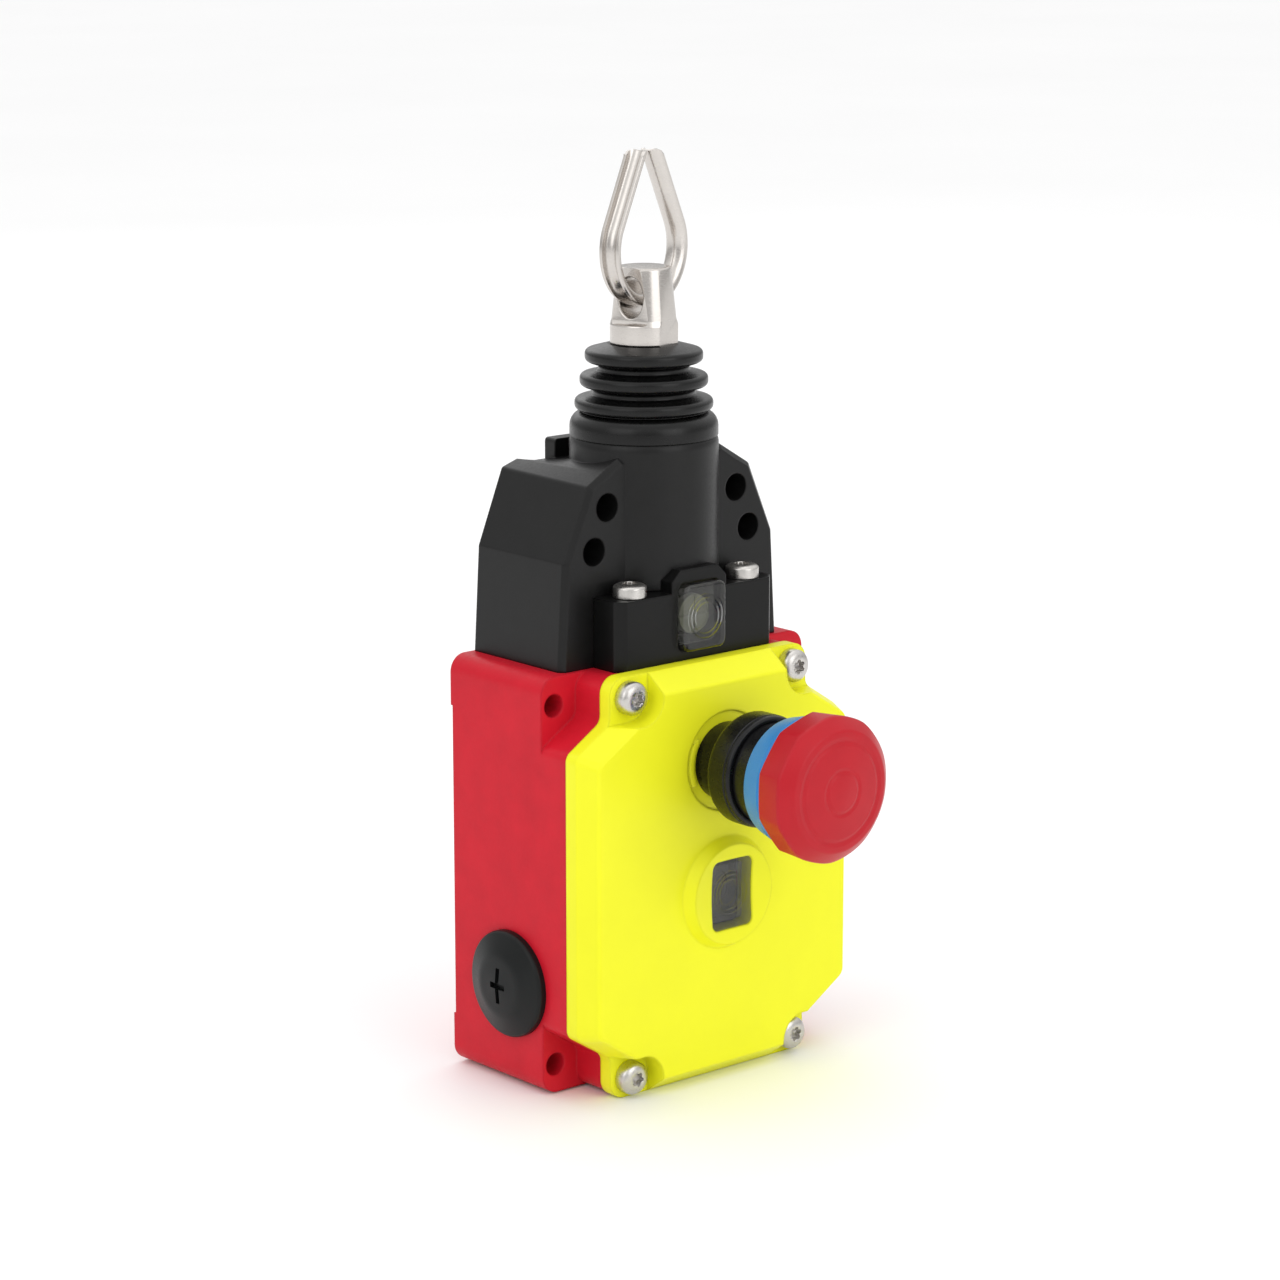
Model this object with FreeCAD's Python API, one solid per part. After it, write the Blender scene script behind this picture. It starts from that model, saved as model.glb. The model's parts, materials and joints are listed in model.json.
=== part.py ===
import FreeCAD, Part
import math
import os

# A rope pull switch: a die-cast housing with a plastic front cover, an emergency-stop
# button in the cover, and a head on top that guides the sprung rod the rope pulls.
# All sizes are in millimetres. X points right, Y to the rear, Z up. The origin is the
# centre of the four mounting holes, on the plane that the switch is bolted to.

Vector = FreeCAD.Vector
RIGHT = Vector(1, 0, 0)
REAR = Vector(0, 1, 0)
UP = Vector(0, 0, 1)

# General fits
running_fit = 0.05          # radial clearance of a shaft in its bore
loose_fit = 0.3             # gap between pieces that move past each other
screw_clearance = 0.3       # radial clearance of a screw in a through hole
past = 1.0                  # how far a cutting tool runs past a face
thin_fit = 0.2

# Screw heads: what is a share is one of the head's radius or height
head_edge_share = 0.3
recess_depth_share = 0.5
star_share = 0.38           # round middle of a star recess
star_lobe_at = 0.4
star_lobe_share = 0.13
socket_share = 0.45
slot_half = 0.4

# Housing
housing_width = 88.0
housing_height = 107.6
housing_depth = 44.5
pad_height = 0.7            # rear corner pads stand this far behind the rear wall
pad_length = 13.0
wall = 3.5
housing_corner_r = 4.5
cavity_corner_r = 3.0
pocket_width = 11.0         # front corner pockets that clear the mounting screws
pocket_height = 17.8
pocket_slope = 7.0
lug_thickness = 35.2
mount_edge_x = 4.0
mount_edge_z = 7.4
mount_hole_d = 5.9
outline_corner_r = 3.0
ear_corner_r = 4.5
throat_r = 7.8              # opening in the top wall, round the rod
throat_side = 5.7           # cavity wall beside the cover screws

# Rope rod axis and the head on top
rod_from_parting = 21.3     # from the cover's seat to the rod's axis
rod_r = 4.0
rod_below_cam = 6.0         # the rod ends this far below the cam's middle
head_foot_half = 36.6
head_shoulder_half = 35.0
head_shoulder_rise = 27.1
front_crown = ((27.0, 45.5), (22.0, 48.5), (17.0, 51.5))     # half width, rise
rear_crown = ((27.3, 46.2), (22.4, 47.8), (17.1, 46.8))
crown_inset = ((0.85, 0.6), (0.5, 1.0), (0.2, 1.0))          # how the front edge bevel draws them in
head_from_parting = 10.4    # from the cover's seat to the head's front
head_edge = 1.4
head_corner_r = 1.2
rear_tab_corner_r = 1.0
rear_tab_half = 13.2
rear_tab_rise = 52.3
rear_tab_thickness = 4.0
rear_tab_overlap = 7.0
tower_r = 18.9
tower_rise = 54.0           # cylinder, then a rounded cone up to the bellows seat
tower_cone_rise = 60.4
tower_round_r = 3.5
tower_lip_r = 15.4
tower_lip_step = 1.2
tower_lip_height = 2.2
tower_lip_round_r = 0.8
tower_bore_r = 14.2
tower_roof = 8.0
tower_floor_rise = 18.6
rod_room_r = 7.4            # bore below the spring room
arm_slot_half = 4.2
arm_slot_spare = 3.0
wing_hole_d = 7.1
upper_wing_hole_x = 21.5
upper_wing_hole_rise = 39.9
lower_wing_hole_x = 25.8
lower_wing_hole_rise = 29.2
bush_r = 7.0
bush_flange_r = 10.0
bush_flange = 2.0
head_seal_r = 8.2
head_seal_width = 1.7
head_seal_height = 1.5
head_seal_round_r = 0.5
head_screw_x = 15.0
head_screw_wall = 7.1       # in front of the housing's rear wall
head_screw_r = 2.0
head_screw_head_r = 3.3
head_screw_head = 2.6
head_screw_reach = 13.0

# Indicator block in front of the head
block_half = 26.2
block_rise = 17.85
block_chamfer = 2.3
block_tab_half = 9.0
block_tab_rise = 23.5
block_tab_chamfer = 2.8
block_front_gap = 0.2
block_front_wall = 1.8
block_roof = 1.2
block_screw_x = 18.85
block_screw_inset = 4.8     # behind the block's front
block_screw_head = 3.5
block_screw_reach = 8.5
block_boss_r = 4.0
block_boss_depth = 10.0
tower_clear = 0.1
head_window_width = 14.4
head_window_height = 17.4
head_window_rise = 11.4
head_window_proud = 2.6
head_window_corner_r = 2.2
head_window_edge_r = 1.0
head_window_seat = 1.2
sight_border = 1.5
disc_r = 5.0
disc_thickness = 2.0
disc_gap = 0.1              # between the disc and the block's front wall
disc_pocket_gap = 0.5       # behind the disc where it rises into the tower's foot
disc_mark = 0.7             # width of the cross lines on the target disc
disc_mark_depth = 0.4
disc_room = 1.0
sight_corner_r = 1.0
fork_half = 2.0
fork_hub = 2.6

# Bellows, eye nut and thimble
bellows_height = 17.3
bellows_ridges = ((17.5, 2.3), (16.2, 8.3), (14.9, 14.4))    # radius, height
bellows_grooves = ((12.9, 5.1), (11.5, 11.2))
bellows_ridge_half = 0.8
bellows_groove_half = 0.6
bellows_ridge_round_r = 0.8
bellows_groove_round_r = 0.6
bellows_crown_round_r = 0.4
bellows_crown_lip = 0.6     # the top reaches this far past the nut's base
bellows_foot = 1.0          # the inside starts to narrow this far above the seat
bellows_neck_drop = 1.0
bellows_wall = 1.6
bellows_mouth_r = 5.2
nut_base_r = 8.6
nut_base_height = 4.9
nut_shoulder_r = 8.15
nut_shoulder_height = 6.3
nut_top_r = 6.75
nut_height = 19.4
nut_thread_depth = 5.0
nut_wrench_half = 7.3       # half the width across the wrench flats
nut_flat_half = 6.1         # half the width across the two faces that the eye opens in
nut_flat_r = 1.4
nut_ledge = 5.2
nut_turn = 22.0             # degrees that the eye is turned from X towards Y
eye_size = (3.9, 5.2, 11.2)             # half width, half height, centre above the nut's base
eye_mouth = (4.9, 6.9, 12.6)
eye_neck_half = 4.0         # half the length of the eye's narrow part
thimble_turn = 12.0         # degrees from X towards Y
thimble_r = 2.5             # outside radius of the half-round channel
thimble_sheet = 0.9
thimble_bend_r = 12.9       # middle line of the round end
thimble_length = 39.6       # middle line, round end to point
thimble_lift = 10.9         # lowest point of the middle line above the nut's base
thimble_point_gap = 0.8
thimble_point_cut = 2.0

# Travels
rope_travel = 4.5           # each way from the armed position
button_travel = 5.0
cam_slope = 0.3             # plunger travel for each millimetre of rod travel

# Rope spring and its seat on the rod
seat_rise = 24.0
seat_height = 2.5
seat_r = 12.8
rope_spring_r = 10.8
rope_spring_wire_r = 1.2
rope_spring_turns = 6

# Cover
flange_thickness = 3.8
cover_rise = 10.1
cover_overhang = 0.5
cover_wall = 3.0
bevel_side = 2.2
bevel_end = 4.6
bevel_diagonal = 2.3
panel_edge_r = 1.0
screw_pocket_r = 6.5
ear_screw_edge = 5.8
ear_screw_end = 4.8
cover_screw_r = 4.25
cover_screw_head = 3.9
cover_screw_shank_r = 2.0
cover_screw_reach = 11.0
tapped_depth = 13.0
rear_hollow = (5.5, 12.0, 5.0, 14.0)         # insets: side, end, diagonal, ear
front_hollow = (4.9, 14.0, 5.0, 15.0)
hollow_corner_r = 2.0
gasket_inset = 0.9
gasket_width = 1.8
gasket_depth = 1.3
gasket_corner_r = 2.5
window_width = 13.6
window_height = 18.2
window_z = -4.6
window_corner_r = 2.0
window_fit = 0.15
window_flange = 1.6
window_flange_side = 2.2
window_pane = 1.6
window_hollow_r = 1.0
boss_r = 14.6               # round boss that carries the window
boss_top_r = 13.0
boss_rise = 3.2
boss_dish = 1.2             # how far its face is dished
window_sink = 0.3           # pane's face below the dish
post_x = 17.0
post_r = 3.0
post_thread = 8.0

# Emergency-stop button
button_z = 29.6
recess_r = 12.8             # shallow round recess in the cover, round the collar
recess_depth = 0.6
arrow_ring = (10.6, 12.1)   # raised turning arrow in the recess: inner and outer radius
arrow_angles = (152.0, 206.0)
arrow_head = (10.15, 12.55, 9.0)        # inner and outer radius, degrees long
collar_base_r = 9.9
collar_r = 14.3
collar_neck = 4.6
collar_flare = 4.2
collar_length = 16.2
collar_lip = 0.8
collar_neck_round_r = 1.0
collar_bulge_round_r = 2.0
collar_lip_round_r = 0.4
collar_shank_r = 8.5
shank_end = 6.2             # shank length inside the cover's wall
collar_nut_r = 11.8
collar_nut_height = 4.5
collar_nut_round_r = 0.8
sleeve_r = 12.7
sleeve_wall = 1.8
sleeve_overlap = 2.3
sleeve_floor_gap = 0.6
ring_gap = 6.6              # from the collar's front to the blue ring at rest
ring_back_r = 15.2
ring_front_r = 17.0
ring_depth = 8.0
ring_wall = 1.8
ring_seat = 2.0
ring_back_round_r = 0.5
ring_front_round_r = 0.4
cap_r = 18.4
cap_depth = 12.0
cap_face_r = 15.0
cap_edge_drop = 1.7
cap_skirt_drop = 4.6
cap_roof = 6.0
cap_flat_low = 17.1         # middle of a grip flat from the axis, near the skirt's rear
cap_flat_high = 18.5        # and near its front
cap_flat_top = 18.6         # and beyond the face
cap_flat_low_rise = 1.5
cap_flat_high_drop = 3.5
cap_hub_r = 8.0
cap_face_round_r = 2.5
cap_edge_round_r = 1.5
cap_roof_round_r = 1.0
cap_flutes = 10
cap_rings = ((5.0, 5.8), (12.2, 13.0))      # inner and outer radius of the fine grooves
cap_ring_depth = 0.3
stem_r = 5.0
stem_seat = 4.5
stem_tail = 1.6
clip_groove = 0.8
clip_r = 6.8
clip_thickness = 0.7
clip_play = 0.05
clip_gap_half = 1.5
button_spring_r = 7.6
button_spring_wire_r = 1.0
button_spring_turns = 5

# Button contact block behind the cover
button_block_gap = 0.5      # from the pressed stem to the block
button_block_depth = 7.0
button_block_corner_r = 1.0
button_block_half_z = 7.5
button_block_border = 4.0
button_terminal_x = 9.0
button_terminal_z = 4.0
button_terminal_r = 2.1
button_terminal_well = 2.4
button_terminal_head = 1.6
button_terminal_core_r = 1.0
button_terminal_core = 3.0
button_screw_reach = 5.0    # into the cover's posts
button_plunger_tail = 5.6   # how far the plunger's rear end stays inside the block at rest
m3_core_r = 1.25

# Blanking plugs and cable entries
entry_r = 10.0
entry_from_bottom = 26.7
entry_depth = 23.5
entry_boss_r = 13.0
entry_boss = 8.0
plug_r = 13.75
plug_rim = 2.0
plug_rim_r = 1.2
plug_dome = 2.9
plug_dome_r = 9.0
plug_dome_knee = (0.55, 0.78)           # shares of the plug's radius and of the dome
plug_thread_bury = 0.2
plug_seal_round_r = 0.4
plug_thread = 9.0
plug_wall = 3.0
plug_slot = (9.3, 1.4)
plug_cross = (5.6, 1.5)
plug_slot_depth = 1.6
plug_seal_r = 12.0
plug_seal_height = 1.3

# Slider, cam and flag on the rod
slider_half = 7.0
slider_half_depth = 6.5
tongue_gap = 1.8            # behind the tongue
cam_corner_r = 0.6
tongue_low = 12.0
tongue_high = 8.0
cam_z = 12.0
cam_half_z = 12.0
cam_half_x = 9.0
tail_half = 4.5
notch_r = 1.0
notch_drop = 6.0
rod_pin_r = 1.5
rod_pin_rise = 4.0
flag_half = 8.6
flag_gap = 0.9
flag_thickness = 1.4
flag_arm_half = 3.0
flag_ring = (5.2, 6.2)
flag_mark = 0.8
flag_relief = 0.5
flag_spare = 0.6
flag_corner_r = 1.0

# Contact mechanism on its carrier
carrier_thickness = 3.0
carrier_gap = 0.5
contact_front = 6.1         # the blocks' front lies this far in front of the rod's axis
contact_cam_gap = 3.0       # from the cam's widest point
contact_wall_gap = 2.1
contact_roof_gap = 1.0
contact_entry_gap = 4.6     # above the cable entries' bosses
contact_corner_r = 1.0
plunger_r = 2.5
plunger_length = 12.0
plunger_spare = 2.5
rail_thickness = 3.0
rail_front_gap = 0.6
rail_low = 10.0
rail_high = 6.0
terminal_r = 2.7
terminal_head = 2.2
terminal_well = 3.4
terminal_well_gap = 0.6
terminal_core_r = 1.2
terminal_core = 4.0
wire_slot_half = 1.9
wire_slot = (2.2, 5.2)      # from and to, behind the block's front
terminal_inset = (4.9, 5.0)             # from the block's side and end
contact_screw_inset = 4.5
contact_screw_head_r = 2.3
contact_screw_head = 1.6
carrier_screw_inset = (8.5, 7.5, 5.5)   # from the cavity's side, low end and top end
carrier_screw_head_r = 2.3
carrier_screw_head = 1.5
carrier_screw_r = 1.5
carrier_screw_reach = 2.5   # into the housing's rear wall
latch_x = 13.0
latch_from_end = 6.5
latch_pin_r = 1.5
latch_boss_r = 3.2
latch_thickness = 6.7
latch_half = 3.5
latch_tail = 4.5
latch_reach = 8.0
latch_taper = 0.5
latch_nose = (2.6, 2.0, 0.8)            # length, slope's rise and half height of the nose
latch_radii = (2.0, 2.0, 1.5, 1.0, 0.3, 0.3, 1.5)
latch_pin_head_r = 2.6
latch_pin_head = 1.5
earth_x = 14.0
earth_from_end = 13.8
earth_boss_r = 4.0
earth_boss = 9.8
earth_screw_r = 1.5
earth_screw_head_r = 3.6
earth_screw_head = 2.4
earth_screw_length = 7.0
earth_clamp_half = (4.5, 4.0)
earth_clamp_thickness = 1.0

# Derived places
rear_y = -pad_height
parting_y = rear_y - housing_depth
half_w = housing_width / 2
half_h = housing_height / 2
lug_front_y = rear_y - lug_thickness
mount_x = half_w - mount_edge_x
mount_z = half_h - mount_edge_z
ear_half = half_w - pocket_width
side_z = half_h - pocket_height
cover_end_z = half_h + cover_overhang
flange_y = parting_y - flange_thickness
panel_y = parting_y - cover_rise
lens_rear_y = panel_y + cover_wall + window_flange
cover_screw_x = ear_half - ear_screw_edge
cover_screw_z = half_h - ear_screw_end
rod_y = parting_y + rod_from_parting
entry_y = -entry_depth
entry_z = entry_from_bottom - half_h
head_front_y = parting_y + head_from_parting
block_front_y = parting_y + block_front_gap
block_top_z = half_h + block_rise
block_screw_y = block_front_y + block_screw_inset
sight_z = half_h + head_window_rise
disc_rear_y = block_front_y + block_front_wall + disc_gap + disc_thickness
tower_low_z = block_top_z + tower_clear
tower_top_z = half_h + tower_cone_rise
bush_seat_z = tower_top_z - tower_roof
nut_z = tower_top_z + bellows_height
cavity_floor_y = rear_y - wall
head_screw_y = cavity_floor_y - head_screw_wall
carrier_front_y = cavity_floor_y - carrier_thickness
cavity_half_w = half_w - wall
cavity_half_z = side_z - wall
throat_half_w = cover_screw_x - throat_side
throat_half_z = half_h - wall
rod_low_z = cam_z - rod_below_cam
slider_front_y = rod_y - slider_half_depth
slider_rear_y = rod_y + slider_half_depth
tongue_rear_y = carrier_front_y - tongue_gap
rail_x = slider_half + loose_fit
cam_low_z = cam_z - cam_half_z
cam_high_z = cam_z + cam_half_z
flag_front_y = lens_rear_y + flag_gap
contact_front_y = rod_y - contact_front
block_x0 = cam_half_x + cam_slope * cam_half_z + contact_cam_gap
block_x1 = cavity_half_w - contact_wall_gap
block_z0 = entry_z + entry_boss_r + contact_entry_gap
block_z1 = cavity_half_z - contact_roof_gap
terminal_places = [(x, z) for z in (block_z0 + terminal_inset[1], block_z1 - terminal_inset[1])
                   for x in (block_x0 + terminal_inset[0], block_x1 - terminal_inset[0])]
contact_screw_places = [((block_x0 + block_x1) / 2, z)
                        for z in (block_z1 - contact_screw_inset, block_z0 + contact_screw_inset)]
carrier_screw_low = (cavity_half_w - carrier_screw_inset[0], carrier_screw_inset[1] - cavity_half_z)
carrier_screw_high = ((rail_x + rail_thickness + block_x0) / 2, cavity_half_z - carrier_screw_inset[2])
carrier_screw_places = [(side * x, z) for x, z in (carrier_screw_low, carrier_screw_high) for side in (-1, 1)]
latch_z = latch_from_end - cavity_half_z
latch_rear_y = slider_rear_y - loose_fit
latch_front_y = latch_rear_y - latch_thickness
earth_z = earth_from_end - half_h
earth_boss_y = cavity_floor_y - earth_boss
collar_front_y = panel_y - collar_length
ring_back_y = collar_front_y - ring_gap
cap_back_y = ring_back_y - ring_depth
cap_front_y = cap_back_y - cap_depth
shank_rear_y = panel_y + cover_wall + shank_end
stem_rear_y = shank_rear_y + stem_tail
button_block_front_y = stem_rear_y + button_travel + button_block_gap
button_block_rear_y = button_block_front_y + button_block_depth
clip_y = shank_rear_y + thin_fit
sleeve_back_y = collar_front_y + sleeve_overlap
collar_floor_y = sleeve_back_y + button_travel + sleeve_floor_gap
sides = (-1, 1)
corners = [(sx, sz) for sx in sides for sz in sides]


def box(x0, x1, y0, y1, z0, z1):
    """A box between two opposite corners, given in either order."""
    x0, x1 = sorted((x0, x1))
    y0, y1 = sorted((y0, y1))
    z0, z1 = sorted((z0, z1))
    return Part.makeBox(x1 - x0, y1 - y0, z1 - z0, Vector(x0, y0, z0))


def bar_x(y, z, r, x0, x1):
    x0, x1 = sorted((x0, x1))
    return Part.makeCylinder(r, x1 - x0, Vector(x0, y, z), RIGHT)


def bar_y(x, z, r, y0, y1):
    return Part.makeCylinder(r, y1 - y0, Vector(x, y0, z), REAR)


def bar_z(x, y, r, z0, z1):
    return Part.makeCylinder(r, z1 - z0, Vector(x, y, z0), UP)


def fuse(first, *others):
    return first.fuse(list(others)).removeSplitter()


def cut(first, *others):
    return first.cut(list(others))


def group(shapes):
    return Part.makeCompound(list(shapes))


def rounded_wire(points, radii):
    """A closed wire through the points, each corner rounded with its own radius."""
    count = len(points)
    arcs = {}
    spans = []
    for i, corner in enumerate(points):
        r = radii[i] if isinstance(radii, (list, tuple)) else radii
        if r <= 0:
            spans.append((corner, corner))
            continue
        before = (points[i - 1] - corner).normalize()
        after = (points[(i + 1) % count] - corner).normalize()
        half = before.getAngle(after) / 2
        reach = r / math.tan(half)
        middle = corner + (before + after).normalize() * (r / math.sin(half) - r)
        spans.append((corner + before * reach, corner + after * reach))
        arcs[i] = Part.Arc(spans[i][0], middle, spans[i][1]).toShape()
    edges = []
    for i in range(count):
        if i in arcs:
            edges.append(arcs[i])
        start = spans[i][1]
        end = spans[(i + 1) % count][0]
        if start.distanceToPoint(end) > 1e-6:
            edges.append(Part.makeLine(start, end))
    return Part.Wire(edges)


def wire_at(points, radii, y):
    return rounded_wire([Vector(x, y, z) for x, z in points], radii)


def prism(points, radii, direction):
    return Part.Face(rounded_wire(points, radii)).extrude(direction)


def prism_y(points, radii, y0, y1):
    return Part.Face(wire_at(points, radii, y0)).extrude(Vector(0, y1 - y0, 0))


def rectangle(half_x, half_z, x=0.0, z=0.0):
    return [(x - half_x, z - half_z), (x + half_x, z - half_z),
            (x + half_x, z + half_z), (x - half_x, z + half_z)]


def mirrored(quarter):
    """The points of a right half, followed by their mirror images in reverse."""
    return list(quarter) + [(-x, z) for x, z in reversed(quarter)]


def turned(points, radii, base, axis, side):
    """A solid of revolution from (radius, height) pairs, about axis through base."""
    profile = [base + side * r + axis * h for r, h in points]
    return Part.Face(rounded_wire(profile, radii)).revolve(base, axis, 360)


def turned_z(points, radii=0.0, x=0.0, y=rod_y):
    return turned(points, radii, Vector(x, y, 0), UP, RIGHT)


def turned_y(points, radii=0.0, x=0.0, z=button_z):
    return turned(points, radii, Vector(x, 0, z), REAR, RIGHT)


def ring_y(r0, r1, y0, y1, x=0.0, z=button_z):
    return turned_y([(r0, y0), (r1, y0), (r1, y1), (r0, y1)], 0.0, x, z)


def hexagon(r, x, y):
    return [(x + r * math.cos(math.radians(60 * i)), y + r * math.sin(math.radians(60 * i))) for i in range(6)]


def about_rod(shape, degrees):
    """Turn a shape drawn at the origin about the vertical, then set it on the rod's axis."""
    shape.rotate(Vector(0, 0, 0), UP, degrees)
    shape.translate(Vector(0, rod_y, 0))
    return shape


def spring(height, coil_r, wire_r, turns):
    """A compression spring along Z from zero to height, wire included."""
    rise = height - 2 * wire_r
    helix = Part.makeHelix(rise / turns, rise, coil_r)
    profile = Part.Wire(Part.makeCircle(wire_r, Vector(coil_r, 0, 0), REAR))
    coil = Part.Wire(helix).makePipeShell([profile], True, True)
    coil.translate(UP * wire_r)
    return coil


def screw_y(x, z, head_r, head_h, shank_r, length, seat_y, drive="slot"):
    """A pan-head screw along Y whose head stands on seat_y, facing the front."""
    top = seat_y - head_h
    head = turned_y([(0, seat_y), (head_r, seat_y), (head_r, top), (0, top)],
                    [0, 0, head_h * head_edge_share, 0], x, z)
    shank = bar_y(x, z, shank_r, seat_y, seat_y + length)
    floor = top + head_h * recess_depth_share
    if drive == "star":
        recess = bar_y(x, z, head_r * star_share, top, floor)
        for lobe_x, lobe_z in hexagon(head_r * star_lobe_at, x, z):
            recess = recess.fuse(bar_y(lobe_x, lobe_z, head_r * star_lobe_share, top, floor))
    else:
        recess = box(x - head_r, x + head_r, top, floor, z - slot_half, z + slot_half)
    return fuse(head, shank).cut(recess)


def screw_z(x, y, head_r, head_h, shank_r, length, seat_z, up=1):
    """A socket screw along Z; its head stands above seat_z, or hangs below it with up=-1."""
    top = seat_z + up * head_h
    head = turned_z([(0, seat_z), (head_r, seat_z), (head_r, top), (0, top)],
                    [0, 0, head_h * head_edge_share, 0], x, y)
    low, high = sorted((seat_z, seat_z - up * length))
    shank = bar_z(x, y, shank_r, low, high)
    socket = prism([Vector(px, py, top) for px, py in hexagon(head_r * socket_share, x, y)], 0,
                   UP * (-up * head_h * recess_depth_share))
    return fuse(head, shank).cut(socket)


def outline(inset_side=0.0, inset_end=0.0, inset_diagonal=0.0, inset_ear=0.0):
    """The cover's outline in XZ, drawn in by the given insets."""
    side = half_w - inset_side
    end = cover_end_z - inset_end
    ear = ear_half - inset_ear
    slope = math.hypot(pocket_width, pocket_slope)
    normal_x = pocket_slope / slope
    normal_z = pocket_width / slope
    reach = half_w * normal_x + side_z * normal_z - inset_diagonal
    low = (reach - side * normal_x) / normal_z
    high = (reach - ear * normal_x) / normal_z
    top = mirrored([(side, low), (ear, high), (ear, end)])
    return top + [(x, -z) for x, z in reversed(top)]


outline_radii = [outline_corner_r] * 2 + [ear_corner_r] * 2 + [outline_corner_r] * 2
outline_radii = outline_radii * 2


# Housing and what closes it

def housing():
    rear = prism_y(rectangle(half_w, half_h), housing_corner_r, lug_front_y, rear_y)
    end_points = [(x, max(-half_h, min(half_h, z))) for x, z in outline()]
    front = prism_y(end_points, outline_radii, parting_y, lug_front_y)
    pads = [box(sx * (half_w - pad_length), sx * half_w, rear_y - past, 0,
                sz * (half_h - pad_length), sz * half_h) for sx, sz in corners]
    envelope = prism_y(rectangle(half_w, half_h), housing_corner_r, parting_y, 0.0)
    body = fuse(rear, front, *pads).common(envelope)
    cavity = prism_y(rectangle(cavity_half_w, cavity_half_z), cavity_corner_r, parting_y, cavity_floor_y)
    throat = prism_y(rectangle(throat_half_w, throat_half_z), cavity_corner_r, parting_y, cavity_floor_y)
    bosses = [bar_z(0, entry_y, entry_boss_r, -half_h, -half_h + entry_boss),
              bar_y(earth_x, earth_z, earth_boss_r, earth_boss_y, cavity_floor_y)]
    for sx in sides:
        bosses.append(bar_x(entry_y, entry_z, entry_boss_r, sx * half_w, sx * (half_w - entry_boss)))
        bosses.append(bar_z(sx * block_screw_x, block_screw_y, block_boss_r, half_h - block_boss_depth, half_h))
    body = body.cut(cavity.fuse(throat).cut(bosses))
    holes = [bar_x(entry_y, entry_z, entry_r, -half_w - past, half_w + past),
             bar_z(0, entry_y, entry_r, -half_h - past, -half_h + entry_boss + past),
             bar_z(0, rod_y, throat_r, half_h - wall - past, half_h + past),
             bar_y(earth_x, earth_z, earth_screw_r, earth_boss_y - past, cavity_floor_y)]
    for sx, sz in corners:
        holes.append(bar_y(sx * mount_x, sz * mount_z, mount_hole_d / 2, lug_front_y - past, past))
        holes.append(bar_y(sx * cover_screw_x, sz * cover_screw_z, cover_screw_shank_r + running_fit,
                           parting_y - past, parting_y + tapped_depth))
    for sx in sides:
        holes.append(bar_z(sx * head_screw_x, head_screw_y, head_screw_r + screw_clearance,
                           half_h - wall - past, half_h + past))
        holes.append(bar_z(sx * block_screw_x, block_screw_y, cover_screw_shank_r + running_fit,
                           half_h - block_screw_reach - past, half_h + past))
    for x, z in carrier_screw_places:
        holes.append(bar_y(x, z, carrier_screw_r + running_fit, cavity_floor_y - past,
                           cavity_floor_y + carrier_screw_reach))
    return cut(body, *holes)


def blanking_plug(side):
    """A screwed-in plug with a domed head and a cross slot, on the left or right wall."""
    face = side * half_w
    out = RIGHT * side
    base = Vector(face, entry_y, entry_z)
    top = plug_rim + plug_dome
    thread_r = entry_r - running_fit
    knee = (plug_r * plug_dome_knee[0], plug_rim + plug_dome * plug_dome_knee[1])
    head = turned([(0, 0), (plug_r, 0), (plug_r, plug_rim), knee, (0, top)],
                  [0, 0, plug_rim_r, plug_dome_r, 0], base, out, REAR)
    bore_r = entry_r - plug_wall
    thread = turned([(bore_r, -plug_thread), (thread_r, -plug_thread), (thread_r, plug_thread_bury),
                     (bore_r, plug_thread_bury)], 0, base, out, REAR)
    groove = turned([(thread_r, 0), (plug_seal_r, 0), (plug_seal_r, plug_seal_height),
                     (thread_r, plug_seal_height)], 0, base, out, REAR)
    slots = [box(face + side * (top - plug_slot_depth), face + side * (top + past), entry_y - width / 2,
                 entry_y + width / 2, entry_z - height / 2, entry_z + height / 2)
             for width, height in ((plug_slot[1], plug_slot[0]), plug_cross)]
    return cut(fuse(head, thread), groove, *slots)


def plug_seal(side):
    low = entry_r + running_fit
    high = plug_seal_r - running_fit
    top = plug_seal_height - running_fit
    return turned([(low, 0), (high, 0), (high, top), (low, top)], plug_seal_round_r,
                  Vector(side * half_w, entry_y, entry_z), RIGHT * side, REAR)


# Cover

def outline_ring(outer, inner, y0, y1):
    """A flat ring that follows the cover's outline between two insets."""
    ring = prism_y(outline(outer, outer, outer, outer), gasket_corner_r, y0, y1)
    return ring.cut(prism_y(outline(inner, inner, inner, inner), gasket_corner_r, y0 - past, y1 + past))


def dish_ball(deeper=0.0):
    """The sphere that dishes the boss round the cover's window, or one that cuts deeper."""
    sphere_r = (boss_top_r ** 2 + boss_dish ** 2) / (2 * boss_dish)
    centre = Vector(0, panel_y - boss_rise + boss_dish - sphere_r, window_z)
    return Part.makeSphere(sphere_r + deeper, centre)


def turning_arrow():
    """Curved arrow beside the collar that shows which way the button turns to let go."""
    def at(r, degrees):
        angle = math.radians(degrees)
        return Vector(r * math.cos(angle), panel_y, button_z + r * math.sin(angle))

    start, end = arrow_angles
    inner, outer = arrow_ring
    head_inner, head_outer, head_turn = arrow_head
    middle = (start + end) / 2
    tip = at((head_inner + head_outer) / 2, start - head_turn)
    edges = [Part.Arc(at(outer, start), at(outer, middle), at(outer, end)).toShape(),
             Part.makeLine(at(outer, end), at(inner, end)),
             Part.Arc(at(inner, end), at(inner, middle), at(inner, start)).toShape(),
             Part.makeLine(at(inner, start), at(head_inner, start)), Part.makeLine(at(head_inner, start), tip),
             Part.makeLine(tip, at(head_outer, start)), Part.makeLine(at(head_outer, start), at(outer, start))]
    return Part.Face(Part.Wire(edges)).extrude(REAR * (recess_depth + past))


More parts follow.
